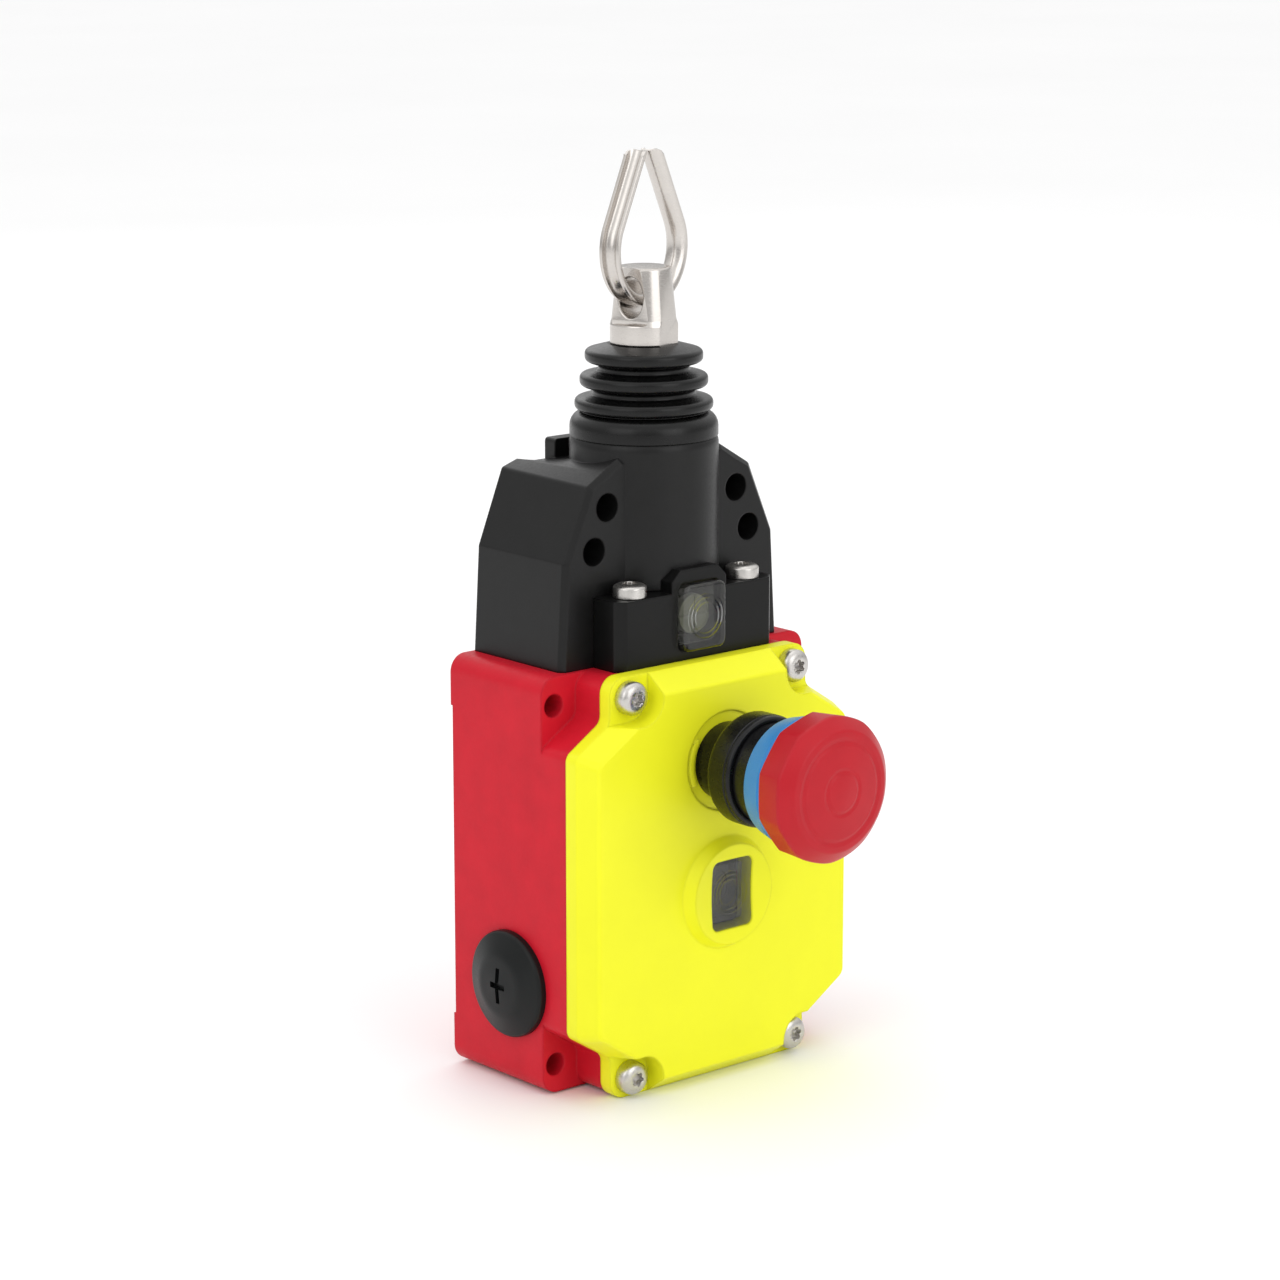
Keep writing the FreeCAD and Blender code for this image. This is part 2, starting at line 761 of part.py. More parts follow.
def cover():
    flange = prism_y(outline(), outline_radii, flange_y, parting_y)
    panel_points = outline(bevel_side, bevel_end, bevel_diagonal, bevel_end)
    bevel = Part.makeLoft([wire_at(outline(), outline_radii, flange_y),
                           wire_at(panel_points, outline_radii, panel_y)], True, True)
    rim = [edge for edge in bevel.Edges if edge.BoundBox.YMax < panel_y + 1e-3]
    body = fuse(flange, bevel.makeFillet(panel_edge_r, rim))
    for sx, sz in corners:
        x0 = cover_screw_x - screw_pocket_r
        z0 = cover_screw_z - screw_pocket_r
        x1 = half_w + screw_pocket_r
        z1 = cover_end_z + screw_pocket_r
        points = [(sx * x0, sz * z0), (sx * x1, sz * z0), (sx * x1, sz * z1), (sx * x0, sz * z1)]
        body = body.cut(prism_y(points, [screw_pocket_r, 0, 0, 0], panel_y - past, flange_y))
    boss = Part.makeCone(boss_r, boss_top_r, boss_rise, Vector(0, panel_y, window_z), REAR * -1)
    recess = bar_y(0, button_z, recess_r, panel_y - past, panel_y + recess_depth).cut(turning_arrow())
    hollow = Part.makeLoft([wire_at(outline(*rear_hollow), hollow_corner_r, parting_y),
                            wire_at(outline(*front_hollow), hollow_corner_r, panel_y + cover_wall)], True, True)
    posts = [bar_y(sx * post_x, button_z, post_r, panel_y + past, button_block_front_y) for sx in sides]
    body = body.cut(recess).fuse(boss).cut(dish_ball()).cut(hollow).fuse(posts)
    tools = [prism_y(rectangle(window_width / 2, window_height / 2, 0, window_z), window_corner_r,
                     panel_y - boss_rise - past, panel_y + cover_wall + past),
             bar_y(0, button_z, collar_shank_r + screw_clearance, panel_y - past, panel_y + cover_wall + past),
             outline_ring(gasket_inset, gasket_inset + gasket_width, parting_y - gasket_depth, parting_y)]
    for sx, sz in corners:
        tools.append(bar_y(sx * cover_screw_x, sz * cover_screw_z, cover_screw_shank_r + screw_clearance,
                           flange_y - past, parting_y + past))
    for sx in sides:
        tools.append(bar_y(sx * post_x, button_z, m3_core_r + running_fit, button_block_front_y - post_thread,
                           button_block_front_y + past))
    return cut(body, *tools).removeSplitter()


def cover_gasket():
    return outline_ring(gasket_inset + running_fit, gasket_inset + gasket_width - running_fit,
                        parting_y - gasket_depth + running_fit, parting_y)


def cover_screws():
    return group(screw_y(sx * cover_screw_x, sz * cover_screw_z, cover_screw_r, cover_screw_head,
                         cover_screw_shank_r, flange_thickness + cover_screw_reach, flange_y, "star")
                 for sx, sz in corners)


def cover_window():
    half_x = window_width / 2 - window_fit
    half_z = window_height / 2 - window_fit
    block = prism_y(rectangle(half_x, half_z, 0, window_z), window_corner_r, panel_y - boss_rise - past,
                    lens_rear_y)
    flange = prism_y(rectangle(half_x + window_flange_side, half_z + window_pane, 0, window_z), window_pane,
                     panel_y + cover_wall, lens_rear_y)
    hollow = prism_y(rectangle(half_x - window_pane, half_z - window_pane, 0, window_z), window_hollow_r,
                     panel_y - boss_rise - past, lens_rear_y + past)
    pane = block.cut(dish_ball(window_sink))
    return fuse(pane, flange).cut(hollow.cut(dish_ball(window_sink + window_pane)))


# Head

def head_section(crown, inset, y):
    """The head's outline in XZ; the side that faces the block is drawn in by inset."""
    quarter = [(head_foot_half - inset, half_h), (head_shoulder_half - inset, half_h + head_shoulder_rise)]
    for (x, rise), (share_x, share_z) in zip(crown, crown_inset):
        quarter.append((x - inset * share_x, half_h + rise - inset * share_z))
    radii = [0, head_corner_r, head_corner_r, 0, 0]
    return wire_at(mirrored(quarter), radii + radii[::-1], y)


def head_housing():
    body = Part.makeLoft([head_section(front_crown, head_edge, head_front_y),
                          head_section(front_crown, 0.0, head_front_y + head_edge),
                          head_section(rear_crown, 0.0, rear_y)], True, True)
    tab_z = half_h + rear_tab_rise
    tab = prism_y([(-rear_tab_half, tab_z - rear_tab_overlap), (rear_tab_half, tab_z - rear_tab_overlap),
                   (rear_tab_half, tab_z), (-rear_tab_half, tab_z)],
                  [0, 0, rear_tab_corner_r, rear_tab_corner_r], rear_y - rear_tab_thickness, rear_y)
    lip_r = tower_lip_r - tower_lip_step
    lip_z = tower_top_z - tower_lip_height
    tower = turned_z([(0, tower_low_z), (tower_r, tower_low_z), (tower_r, half_h + tower_rise),
                      (tower_lip_r, lip_z), (lip_r, lip_z), (lip_r, tower_top_z), (0, tower_top_z)],
                     [0, 0, tower_round_r, tower_lip_round_r, 0, 0, 0])
    spare = rope_travel + arm_slot_spare
    tools = [bar_z(0, rod_y, rod_room_r, half_h - past, bush_seat_z),
             bar_z(0, rod_y, tower_bore_r, half_h + tower_floor_rise, bush_seat_z),
             bar_z(0, rod_y, bush_r + running_fit, bush_seat_z - past, tower_top_z + past),
             turned_z([(head_seal_r, half_h - past), (head_seal_r + head_seal_width, half_h - past),
                       (head_seal_r + head_seal_width, half_h + head_seal_height),
                       (head_seal_r, half_h + head_seal_height)]),
             box(-arm_slot_half, arm_slot_half, head_front_y - tower_r, rod_y,
                 sight_z - spare, sight_z + spare),
             box(-disc_r - disc_room, disc_r + disc_room, rod_y - tower_r - past, disc_rear_y + disc_pocket_gap,
                 tower_low_z - past, sight_z + rope_travel + disc_r + disc_room)]
    for sx in sides:
        for x, rise in ((upper_wing_hole_x, upper_wing_hole_rise), (lower_wing_hole_x, lower_wing_hole_rise)):
            tools.append(bar_y(sx * x, half_h + rise, wing_hole_d / 2, head_front_y - past, rear_y + past))
        tools.append(bar_z(sx * head_screw_x, head_screw_y, head_screw_r + running_fit, half_h - past,
                           half_h + head_screw_reach + past))
    return cut(fuse(body, tab, tower), *tools)


def guide_bush():
    bore = rod_r + running_fit
    return turned_z([(bore, bush_seat_z - bush_flange), (bush_flange_r, bush_seat_z - bush_flange),
                     (bush_flange_r, bush_seat_z), (bush_r, bush_seat_z), (bush_r, tower_top_z),
                     (bore, tower_top_z)])


def head_seal():
    low = head_seal_r + running_fit
    high = head_seal_r + head_seal_width - running_fit
    top = half_h + head_seal_height - running_fit
    return turned_z([(low, half_h), (high, half_h), (high, top), (low, top)], head_seal_round_r)


def head_screws():
    return group(screw_z(sx * head_screw_x, head_screw_y, head_screw_head_r, head_screw_head, head_screw_r,
                         wall + head_screw_reach, half_h - wall, up=-1) for sx in sides)


def indicator_block():
    front = block_front_y
    bevel_y = front + block_chamfer
    plan = [(-block_half, head_front_y), (-block_half, bevel_y), (-block_half + block_chamfer, front),
            (block_half - block_chamfer, front), (block_half, bevel_y), (block_half, head_front_y)]
    body = prism([Vector(x, y, half_h) for x, y in plan], 0, UP * block_rise)
    tab_top = half_h + block_tab_rise
    tab_side = tab_top - block_tab_chamfer
    tab = prism_y(mirrored([(block_tab_half, block_top_z - past), (block_tab_half, tab_side),
                            (block_tab_half - block_tab_chamfer, tab_top)]), 0, front, rod_y)
    tab = tab.cut(bar_z(0, rod_y, tower_r + tower_clear, half_h, tab_top + past))
    room_half = disc_r + disc_room
    inside_y = front + block_front_wall
    room_low = sight_z - rope_travel - room_half
    tools = [box(-room_half, room_half, inside_y, head_front_y + past, room_low, block_top_z - block_roof),
             box(-room_half, room_half, inside_y, inside_y + disc_thickness + disc_room, room_low,
                 sight_z + rope_travel + room_half),
             box(-arm_slot_half, arm_slot_half, inside_y + disc_thickness, head_front_y + past, sight_z,
                 block_top_z + past),
             prism_y(rectangle(head_window_width / 2, head_window_height / 2, 0, sight_z), head_window_corner_r,
                     front - past, front + head_window_seat),
             prism_y(rectangle(room_half, head_window_height / 2 - sight_border, 0, sight_z), sight_corner_r,
                     front - past, inside_y + past)]
    for sx in sides:
        tools.append(bar_z(sx * block_screw_x, block_screw_y, cover_screw_shank_r + screw_clearance,
                           half_h - past, block_top_z + past))
    return cut(fuse(body, tab), *tools)


def block_screws():
    return group(screw_z(sx * block_screw_x, block_screw_y, cover_screw_r, block_screw_head,
                         cover_screw_shank_r, block_rise + block_screw_reach, block_top_z) for sx in sides)


def head_window():
    front = block_front_y - head_window_proud
    half_x = head_window_width / 2 - window_fit
    half_z = head_window_height / 2 - window_fit
    pane = prism_y(rectangle(half_x, half_z, 0, sight_z), head_window_corner_r, front,
                   block_front_y + head_window_seat)
    rim = [edge for edge in pane.Edges if edge.BoundBox.YMax < front + 1e-3]
    return pane.makeFillet(head_window_edge_r, rim)


def bellows():
    """Folded rubber boot: the folds are rounded rings that step in towards the nut."""
    z0 = tower_top_z
    top = z0 + bellows_height
    inner_r = tower_lip_r - tower_lip_step + running_fit
    points = [(tower_lip_r, z0 - tower_lip_height), (tower_lip_r, z0)]
    radii = [0, bellows_groove_round_r]
    for i, (ridge_r, ridge_z) in enumerate(bellows_ridges):
        points += [(ridge_r, z0 + ridge_z - bellows_ridge_half), (ridge_r, z0 + ridge_z + bellows_ridge_half)]
        radii += [bellows_ridge_round_r] * 2
        if i < len(bellows_grooves):
            groove_r, groove_z = bellows_grooves[i]
            points += [(groove_r, z0 + groove_z - bellows_groove_half),
                       (groove_r, z0 + groove_z + bellows_groove_half)]
            radii += [bellows_groove_round_r] * 2
    low_neck_r, high_neck_r = [groove_r - bellows_wall for groove_r, groove_z in bellows_grooves]
    points += [(nut_base_r + bellows_crown_lip, top), (bellows_mouth_r, top),
               (bellows_mouth_r, top - bellows_wall), (high_neck_r, top - bellows_wall - bellows_neck_drop),
               (low_neck_r - bellows_crown_lip, z0 + bellows_foot), (inner_r, z0 + running_fit),
               (inner_r, z0 - tower_lip_height)]
    radii += [bellows_crown_round_r] + [0] * 6
    return turned_z(points, radii)


# Rod and what moves with it

def pull_rod():
    body = bar_z(0, rod_y, rod_r, rod_low_z, nut_z + nut_thread_depth - loose_fit)
    seat = bar_z(0, rod_y, seat_r, half_h + seat_rise, half_h + seat_rise + seat_height)
    pin_hole = bar_y(0, cam_z + rod_pin_rise, rod_pin_r + running_fit, rod_y - seat_r, rod_y + seat_r)
    return fuse(body, seat).cut(pin_hole)


def eye_wire(size, x):
    """An upright ellipse across X, at the height of the nut's eye."""
    half_width, half_height, rise = size
    wire = Part.Wire(Part.Ellipse(Vector(0, 0, 0), half_height, half_width).toShape())
    wire.rotate(Vector(0, 0, 0), REAR, -90)
    wire.translate(Vector(x, 0, nut_z + rise))
    return wire


def eye_nut():
    """Turned nut with two wrench flats, two eye faces and an eye that opens like a funnel."""
    top = nut_z + nut_height
    solid = turned_z([(0, nut_z), (nut_base_r, nut_z), (nut_base_r, nut_z + nut_base_height),
                      (nut_shoulder_r, nut_z + nut_shoulder_height), (nut_top_r, top), (0, top)],
                     [0, 0.5, 0.3, 0.3, 0.8, 0])
    reach = nut_base_r + past
    tools = [bar_z(0, rod_y, rod_r + running_fit, nut_z - past, nut_z + nut_thread_depth)]
    for quarter in range(4):
        if quarter % 2:
            flat = box(nut_wrench_half, reach, -reach, reach, nut_z - past, top + past)
        else:
            ledge = nut_z + nut_ledge
            flat = prism_y([(nut_flat_half, ledge), (reach, ledge), (reach, top + past),
                            (nut_flat_half, top + past)], [nut_flat_r, 0, 0, 0], -reach, reach)
        tools.append(about_rod(flat, nut_turn + 90 * quarter))
    spread = (reach - eye_neck_half) / (nut_flat_half - eye_neck_half)
    beyond = tuple(small + (large - small) * spread for small, large in zip(eye_size, eye_mouth))
    eye = Part.makeLoft([eye_wire(beyond, -reach), eye_wire(eye_size, -eye_neck_half),
                         eye_wire(eye_size, eye_neck_half), eye_wire(beyond, reach)], True, True)
    return cut(solid, about_rod(eye, nut_turn), *tools)


def thimble():
    """Teardrop loop of half-round sheet channel, its groove outwards, whose ends meet at the top."""
    low = nut_z + thimble_lift
    centre_z = low + thimble_bend_r
    reach = thimble_length - thimble_bend_r
    half = thimble_r / 2
    tip_x = thimble_point_gap + half
    lean = math.asin(thimble_bend_r / math.hypot(tip_x, reach)) - math.atan2(tip_x, reach)
    touch = Vector(thimble_bend_r * math.cos(lean), 0, centre_z + thimble_bend_r * math.sin(lean))
    tip = Vector(tip_x, 0, low + thimble_length - thimble_point_cut)
    far_touch, far_tip = [Vector(-p.x, 0, p.z) for p in (touch, tip)]
    path = Part.Wire([Part.makeLine(tip, touch), Part.Arc(touch, Vector(0, 0, low), far_touch).toShape(),
                      Part.makeLine(far_touch, far_tip)])
    out = (touch - tip).cross(REAR).normalize()
    if out.x < 0:
        out = out * -1
    inner_r = thimble_r - thimble_sheet

    def at(a, b):
        return tip + out * a + REAR * b

    profile = Part.Wire([Part.Arc(at(half, -thimble_r), at(half - thimble_r, 0), at(half, thimble_r)).toShape(),
                         Part.makeLine(at(half, thimble_r), at(half, inner_r)),
                         Part.Arc(at(half, inner_r), at(half - inner_r, 0), at(half, -inner_r)).toShape(),
                         Part.makeLine(at(half, -inner_r), at(half, -thimble_r))])
    return about_rod(path.makePipeShell([profile], True, False), thimble_turn)


def rope_spring():
    low = half_h + seat_rise + seat_height
    coil = spring(bush_seat_z - bush_flange - low, rope_spring_r, rope_spring_wire_r, rope_spring_turns)
    coil.translate(Vector(0, rod_y, low))
    return coil


def switching_cam():
    """Slider with its tongue between the rails, a slanted cam and the arm of the flag."""
    shift = cam_slope * cam_half_z
    cam = prism_y([(-cam_half_x - shift, cam_low_z), (cam_half_x - shift, cam_low_z),
                   (cam_half_x + shift, cam_high_z), (-cam_half_x + shift, cam_high_z)], cam_corner_r,
                  slider_front_y, slider_rear_y)
    low = cam_low_z - tongue_low
    high = cam_high_z + tongue_high
    tongue = box(-slider_half, slider_half, slider_rear_y, tongue_rear_y, low, high)
    tail = box(-tail_half, tail_half, slider_front_y, slider_rear_y, low, cam_low_z + past)
    arm_top = cam_low_z - flag_arm_half
    arm = box(-flag_arm_half, flag_arm_half, flag_front_y + flag_thickness, slider_front_y,
              arm_top - 2 * flag_arm_half, arm_top)
    front = slider_front_y - past
    tools = [bar_z(0, rod_y, rod_r + running_fit, rod_low_z, high + past),
             bar_y(0, cam_z + rod_pin_rise, rod_pin_r + running_fit, front, tongue_rear_y + past)]
    for travel in (-rope_travel, rope_travel):
        tools.append(bar_y(tail_half, cam_low_z - notch_drop + travel, notch_r, front, slider_rear_y))
    return cut(fuse(cam, tongue, tail, arm), *tools)


def rod_pin():
    return bar_y(0, cam_z + rod_pin_rise, rod_pin_r, slider_front_y + loose_fit, tongue_rear_y - loose_fit)


def indicator_flag():
    """Plate behind the cover's window, with a ring and a cross as its mark."""
    reach = window_height / 2 + rope_travel + flag_spare
    rear = flag_front_y + flag_thickness
    face = flag_front_y - flag_relief
    plate = prism_y(rectangle(flag_half, reach, 0, window_z), flag_corner_r, flag_front_y, rear)
    inner, outer = flag_ring
    half = flag_mark / 2
    return fuse(plate, ring_y(inner, outer, face, flag_front_y, 0, window_z),
                box(-inner, inner, face, flag_front_y, window_z - half, window_z + half),
                box(-half, half, face, flag_front_y, window_z - inner, window_z + inner))


def tension_indicator():
    """Round target behind the head's window, on a fork that grips the rod."""
    rear = disc_rear_y
    front = rear - disc_thickness
    half = disc_mark / 2
    face = front + disc_mark_depth
    body = fuse(bar_y(0, sight_z, disc_r, front, rear),
                box(-flag_arm_half, flag_arm_half, rear, rod_y, sight_z - fork_half, sight_z + fork_half),
                bar_z(0, rod_y, rod_r + fork_hub, sight_z - fork_half, sight_z + fork_half))
    return cut(body, bar_z(0, rod_y, rod_r, sight_z - fork_half - past, sight_z + fork_half + past),
               box(-disc_r, disc_r, front - past, face, sight_z - half, sight_z + half),
               box(-half, half, front - past, face, sight_z - disc_r, sight_z + disc_r))


# Contact mechanism on its carrier

def mechanism_carrier():
    plate = prism_y(rectangle(cavity_half_w - carrier_gap, cavity_half_z - carrier_gap),
                    cavity_corner_r - carrier_gap, carrier_front_y, cavity_floor_y)
    rails = [box(sx * rail_x, sx * (rail_x + rail_thickness), slider_rear_y + rail_front_gap, carrier_front_y,
                 cam_low_z - rail_low, cam_high_z + rail_high) for sx in sides]
    boss_y = latch_rear_y + loose_fit
    boss = bar_y(latch_x, latch_z, latch_boss_r, boss_y, carrier_front_y)
    tools = [bar_y(latch_x, latch_z, latch_pin_r + running_fit, boss_y - past, cavity_floor_y)]
    for x, z in carrier_screw_places:
        tools.append(bar_y(x, z, carrier_screw_r + screw_clearance, carrier_front_y - past, cavity_floor_y))
    for sx in sides:
        for x, z in contact_screw_places:
            tools.append(bar_y(sx * x, z, m3_core_r + running_fit, carrier_front_y - past, cavity_floor_y))
    return cut(fuse(plate, boss, *rails), *tools)


def contact_block(side):
    """Two-pole switch block with a bore for its plunger and four terminal wells."""
    ends = ((block_x0, block_z0), (block_x1, block_z0), (block_x1, block_z1), (block_x0, block_z1))
    body = prism_y([(side * x, z) for x, z in ends], contact_corner_r, contact_front_y, carrier_front_y)
    tools = [bar_x(rod_y, cam_z, plunger_r + running_fit, side * (block_x0 - past),
                   side * (block_x0 + plunger_length + plunger_spare))]
    front = contact_front_y
    for x, z in terminal_places:
        away = math.copysign(block_z1 - block_z0, z - cam_z)
        tools += [bar_y(side * x, z, terminal_r + terminal_well_gap, front - past, front + terminal_well),
                  bar_y(side * x, z, terminal_core_r + running_fit, front,
                        front + terminal_well + terminal_core + past),
                  box(side * x - wire_slot_half, side * x + wire_slot_half, front + wire_slot[0],
                      front + wire_slot[1], z, z + away)]
    for x, z in contact_screw_places:
        tools.append(bar_y(side * x, z, m3_core_r + screw_clearance, front - past, carrier_front_y + past))
    return cut(body, *tools)


def terminal_screws():
    return group(screw_y(side * x, z, terminal_r, terminal_head, terminal_core_r, terminal_core,
                         contact_front_y + terminal_well) for side in sides for x, z in terminal_places)


def contact_screws():
    length = cavity_floor_y - contact_front_y - loose_fit
    return group(screw_y(side * x, z, contact_screw_head_r, contact_screw_head, m3_core_r, length,
                         contact_front_y) for side in sides for x, z in contact_screw_places)


def carrier_screws():
    return group(screw_y(x, z, carrier_screw_head_r, carrier_screw_head, carrier_screw_r,
                         carrier_thickness + carrier_screw_reach - loose_fit, carrier_front_y)
                 for x, z in carrier_screw_places)


def plunger(side):
    """Sliding pin that follows one flank of the cam; its tip is a half ball."""
    tip = cam_half_x + (plunger_r + loose_fit) / math.cos(math.atan(cam_slope))
    ball = Part.makeSphere(plunger_r, Vector(side * tip, rod_y, cam_z))
    return fuse(bar_x(rod_y, cam_z, plunger_r, side * tip, side * (block_x0 + plunger_length)), ball)


def latch_lever():
    """Pawl beside the slider's tail, with a nose that faces the two notches."""
    nose_x = tail_half + loose_fit
    nose_z = cam_low_z - notch_drop
    length, rise, half = latch_nose
    points = [(latch_x - latch_half, latch_z - latch_tail), (latch_x + latch_half, latch_z - latch_tail),
              (latch_x + latch_half - latch_taper, latch_z + latch_reach), (nose_x + length, nose_z + rise),
              (nose_x, nose_z + half), (nose_x, nose_z - half), (latch_x - latch_half, latch_z + latch_reach)]
    body = prism_y(points, latch_radii, latch_front_y, latch_rear_y)
    return cut(body, bar_y(latch_x, latch_z, latch_pin_r + running_fit, latch_front_y - past,
                           latch_rear_y + past))


def latch_pin():
    head_y = latch_front_y - loose_fit
    return fuse(bar_y(latch_x, latch_z, latch_pin_r, head_y - latch_pin_head, cavity_floor_y - loose_fit),
                bar_y(latch_x, latch_z, latch_pin_head_r, head_y - latch_pin_head, head_y))


def earth_screw():
    return screw_y(earth_x, earth_z, earth_screw_head_r, earth_screw_head, earth_screw_r - running_fit,
                   earth_screw_length, earth_boss_y - earth_clamp_thickness)


def earth_clamp():
    half_x, half_z = earth_clamp_half
    plate = box(earth_x - half_x, earth_x + half_x, earth_boss_y - earth_clamp_thickness, earth_boss_y,
                earth_z - half_z, earth_z + half_z)
    return plate.cut(bar_y(earth_x, earth_z, earth_screw_r + running_fit, earth_boss_y - 2 * past,
                           earth_boss_y + past))


# Emergency-stop button

def button_collar():
    bore = stem_r + running_fit
    bulge_y = panel_y - collar_neck - collar_flare
    socket_r = sleeve_r + 2 * running_fit
    foot_y = panel_y + recess_depth
    return turned_y([(bore, shank_rear_y), (collar_shank_r, shank_rear_y), (collar_shank_r, foot_y),
                     (collar_base_r, foot_y), (collar_base_r, panel_y - collar_neck), (collar_r, bulge_y),
                     (collar_r, collar_front_y + collar_lip), (socket_r, collar_front_y),
                     (socket_r, collar_floor_y), (bore, collar_floor_y)],
                    [0, 0, 0, 0, collar_neck_round_r, collar_bulge_round_r, collar_lip_round_r, 0, 0, 0])


def collar_nut():
    y0 = panel_y + cover_wall
    y1 = y0 + collar_nut_height
    return prism_y(hexagon(collar_nut_r, 0, button_z), collar_nut_round_r, y0, y1).cut(
        bar_y(0, button_z, collar_shank_r + running_fit, y0 - past, y1 + past))


def button_stem():
    shaft = bar_y(0, button_z, stem_r, cap_front_y + stem_seat, stem_rear_y)
    return shaft.cut(ring_y(stem_r - clip_groove, stem_r + past, clip_y, clip_y + clip_groove))


def stem_clip():
    y0 = clip_y + clip_play
    ring = ring_y(stem_r - clip_thickness, clip_r, y0, y0 + clip_thickness)
    return ring.cut(box(-clip_gap_half, clip_gap_half, y0 - past, y0 + 2 * past, button_z - clip_r - past,
                        button_z))


def button_spring():
    """Drawn pressed: it then reaches from the collar's floor to the cap's hub."""
    length = collar_floor_y - (cap_back_y + past + button_travel)
    coil = spring(length, button_spring_r, button_spring_wire_r, button_spring_turns)
    coil.rotate(Vector(0, 0, 0), RIGHT, -90)
    coil.translate(Vector(0, collar_floor_y - length, button_z))
    return coil


def button_sleeve():
    return ring_y(sleeve_r - sleeve_wall, sleeve_r, ring_back_y - ring_seat, sleeve_back_y)


def reset_ring():
    inner = ring_front_r - ring_wall
    bore = sleeve_r - sleeve_wall
    return turned_y([(bore, ring_back_y - ring_seat), (sleeve_r, ring_back_y - ring_seat),
                     (sleeve_r, ring_back_y), (ring_back_r, ring_back_y), (ring_front_r, cap_back_y),
                     (inner, cap_back_y), (inner, cap_back_y - ring_wall), (bore, cap_back_y - ring_wall)],
                    [0, 0, 0, ring_back_round_r, ring_front_round_r, 0, 0, 0])


def button_cap():
    """Mushroom cap: a turned dome whose skirt is dressed with shallow flats for grip."""
    face = cap_front_y
    inner = ring_front_r - ring_wall
    shell = turned_y([(0, face), (cap_face_r, face + cap_edge_drop), (cap_r, face + cap_skirt_drop),
                      (cap_r, cap_back_y), (inner, cap_back_y), (inner, face + cap_roof), (0, face + cap_roof)],
                     [0, cap_face_round_r, cap_edge_round_r, 0, 0, cap_roof_round_r, 0])
    body = fuse(shell, bar_y(0, button_z, cap_hub_r, face + cap_roof - past, cap_back_y + past))
    step = 2 * math.pi / cap_flutes
    wires = []
    for y, apothem in ((cap_back_y + cap_flat_low_rise, cap_flat_low),
                       (face + cap_flat_high_drop, cap_flat_high), (face - past, cap_flat_top)):
        r = apothem / math.cos(step / 2)
        points = [(r * math.cos(step * (i + 0.5)), button_z + r * math.sin(step * (i + 0.5)))
                  for i in range(cap_flutes)]
        wires.append(wire_at(points, 0.0, y))
    body = body.common(Part.makeLoft(wires, True, True))
    slope = cap_edge_drop / cap_face_r
    grooves = [ring_y(inner_r, outer_r, face - past, face + slope * outer_r + cap_ring_depth)
               for inner_r, outer_r in cap_rings]
    bore = bar_y(0, button_z, stem_r + running_fit, face + stem_seat, cap_back_y + 2 * past)
    return cut(body, bore, *grooves)


def button_contact_block():
    front = button_block_front_y
    rear = button_block_rear_y
    body = prism_y(rectangle(post_x + button_block_border, button_block_half_z, 0, button_z),
                   button_block_corner_r, front, rear)
    tools = [bar_y(0, button_z, plunger_r + running_fit, front - past, rear + past)]
    for sx in sides:
        tools.append(bar_y(sx * post_x, button_z, m3_core_r + screw_clearance, front - past, rear + past))
    for sx, sz in corners:
        x = sx * button_terminal_x
        z = button_z + sz * button_terminal_z
        tools.append(bar_y(x, z, button_terminal_r + loose_fit, front - past, front + button_terminal_well))
        tools.append(bar_y(x, z, button_terminal_core_r + running_fit, front, rear - past))
    return cut(body, *tools)


def button_terminal_screws():
    return group(screw_y(sx * button_terminal_x, button_z + sz * button_terminal_z, button_terminal_r,
                         button_terminal_head, button_terminal_core_r, button_terminal_core,
                         button_block_front_y + button_terminal_well) for sx, sz in corners)


def button_block_screws():
    screws = []
    for sx in sides:
        screw = screw_y(0, 0, contact_screw_head_r, contact_screw_head, m3_core_r,
                        button_block_depth + button_screw_reach, 0)
        screw.rotate(Vector(0, 0, 0), UP, 180)
        screw.translate(Vector(sx * post_x, button_block_rear_y, button_z))
        screws.append(screw)
    return group(screws)


def button_plunger():
    return bar_y(0, button_z, plunger_r, stem_rear_y + loose_fit, button_block_rear_y - button_plunger_tail)


NODES = {
    "housing": housing,
    "cover": cover,
    "cover_gasket": cover_gasket,
    "cover_screws": cover_screws,
    "cover_window": cover_window,
    "left_plug": lambda: blanking_plug(-1),
    "right_plug": lambda: blanking_plug(1),
    "plug_seals": lambda: group(plug_seal(side) for side in sides),
    "head_housing": head_housing,
    "head_seal": head_seal,
    "head_screws": head_screws,
    "guide_bush": guide_bush,
    "indicator_block": indicator_block,
    "block_screws": block_screws,
    "head_window": head_window,
    "bellows": bellows,
    "pull_rod": pull_rod,
    "eye_nut": eye_nut,
    "thimble": thimble,
    "rope_spring": rope_spring,
    "switching_cam": switching_cam,
    "rod_pin": rod_pin,
    "indicator_flag": indicator_flag,
    "tension_indicator": tension_indicator,
    "mechanism_carrier": mechanism_carrier,
    "carrier_screws": carrier_screws,
    "pull_contact_block": lambda: contact_block(-1),
    "slack_contact_block": lambda: contact_block(1),
    "pull_plunger": lambda: plunger(-1),
    "slack_plunger": lambda: plunger(1),
    "contact_screws": contact_screws,
    "terminal_screws": terminal_screws,
    "latch_lever": latch_lever,
    "latch_pin": latch_pin,
    "earth_screw": earth_screw,
    "earth_clamp": earth_clamp,
    "button_collar": button_collar,
    "collar_nut": collar_nut,
    "button_stem": button_stem,
    "stem_clip": stem_clip,
    "button_spring": button_spring,
    "button_sleeve": button_sleeve,
    "reset_ring": reset_ring,
    "button_cap": button_cap,
    "button_contact_block": button_contact_block,
    "button_terminal_screws": button_terminal_screws,
    "button_block_screws": button_block_screws,
    "button_plunger": button_plunger,
}

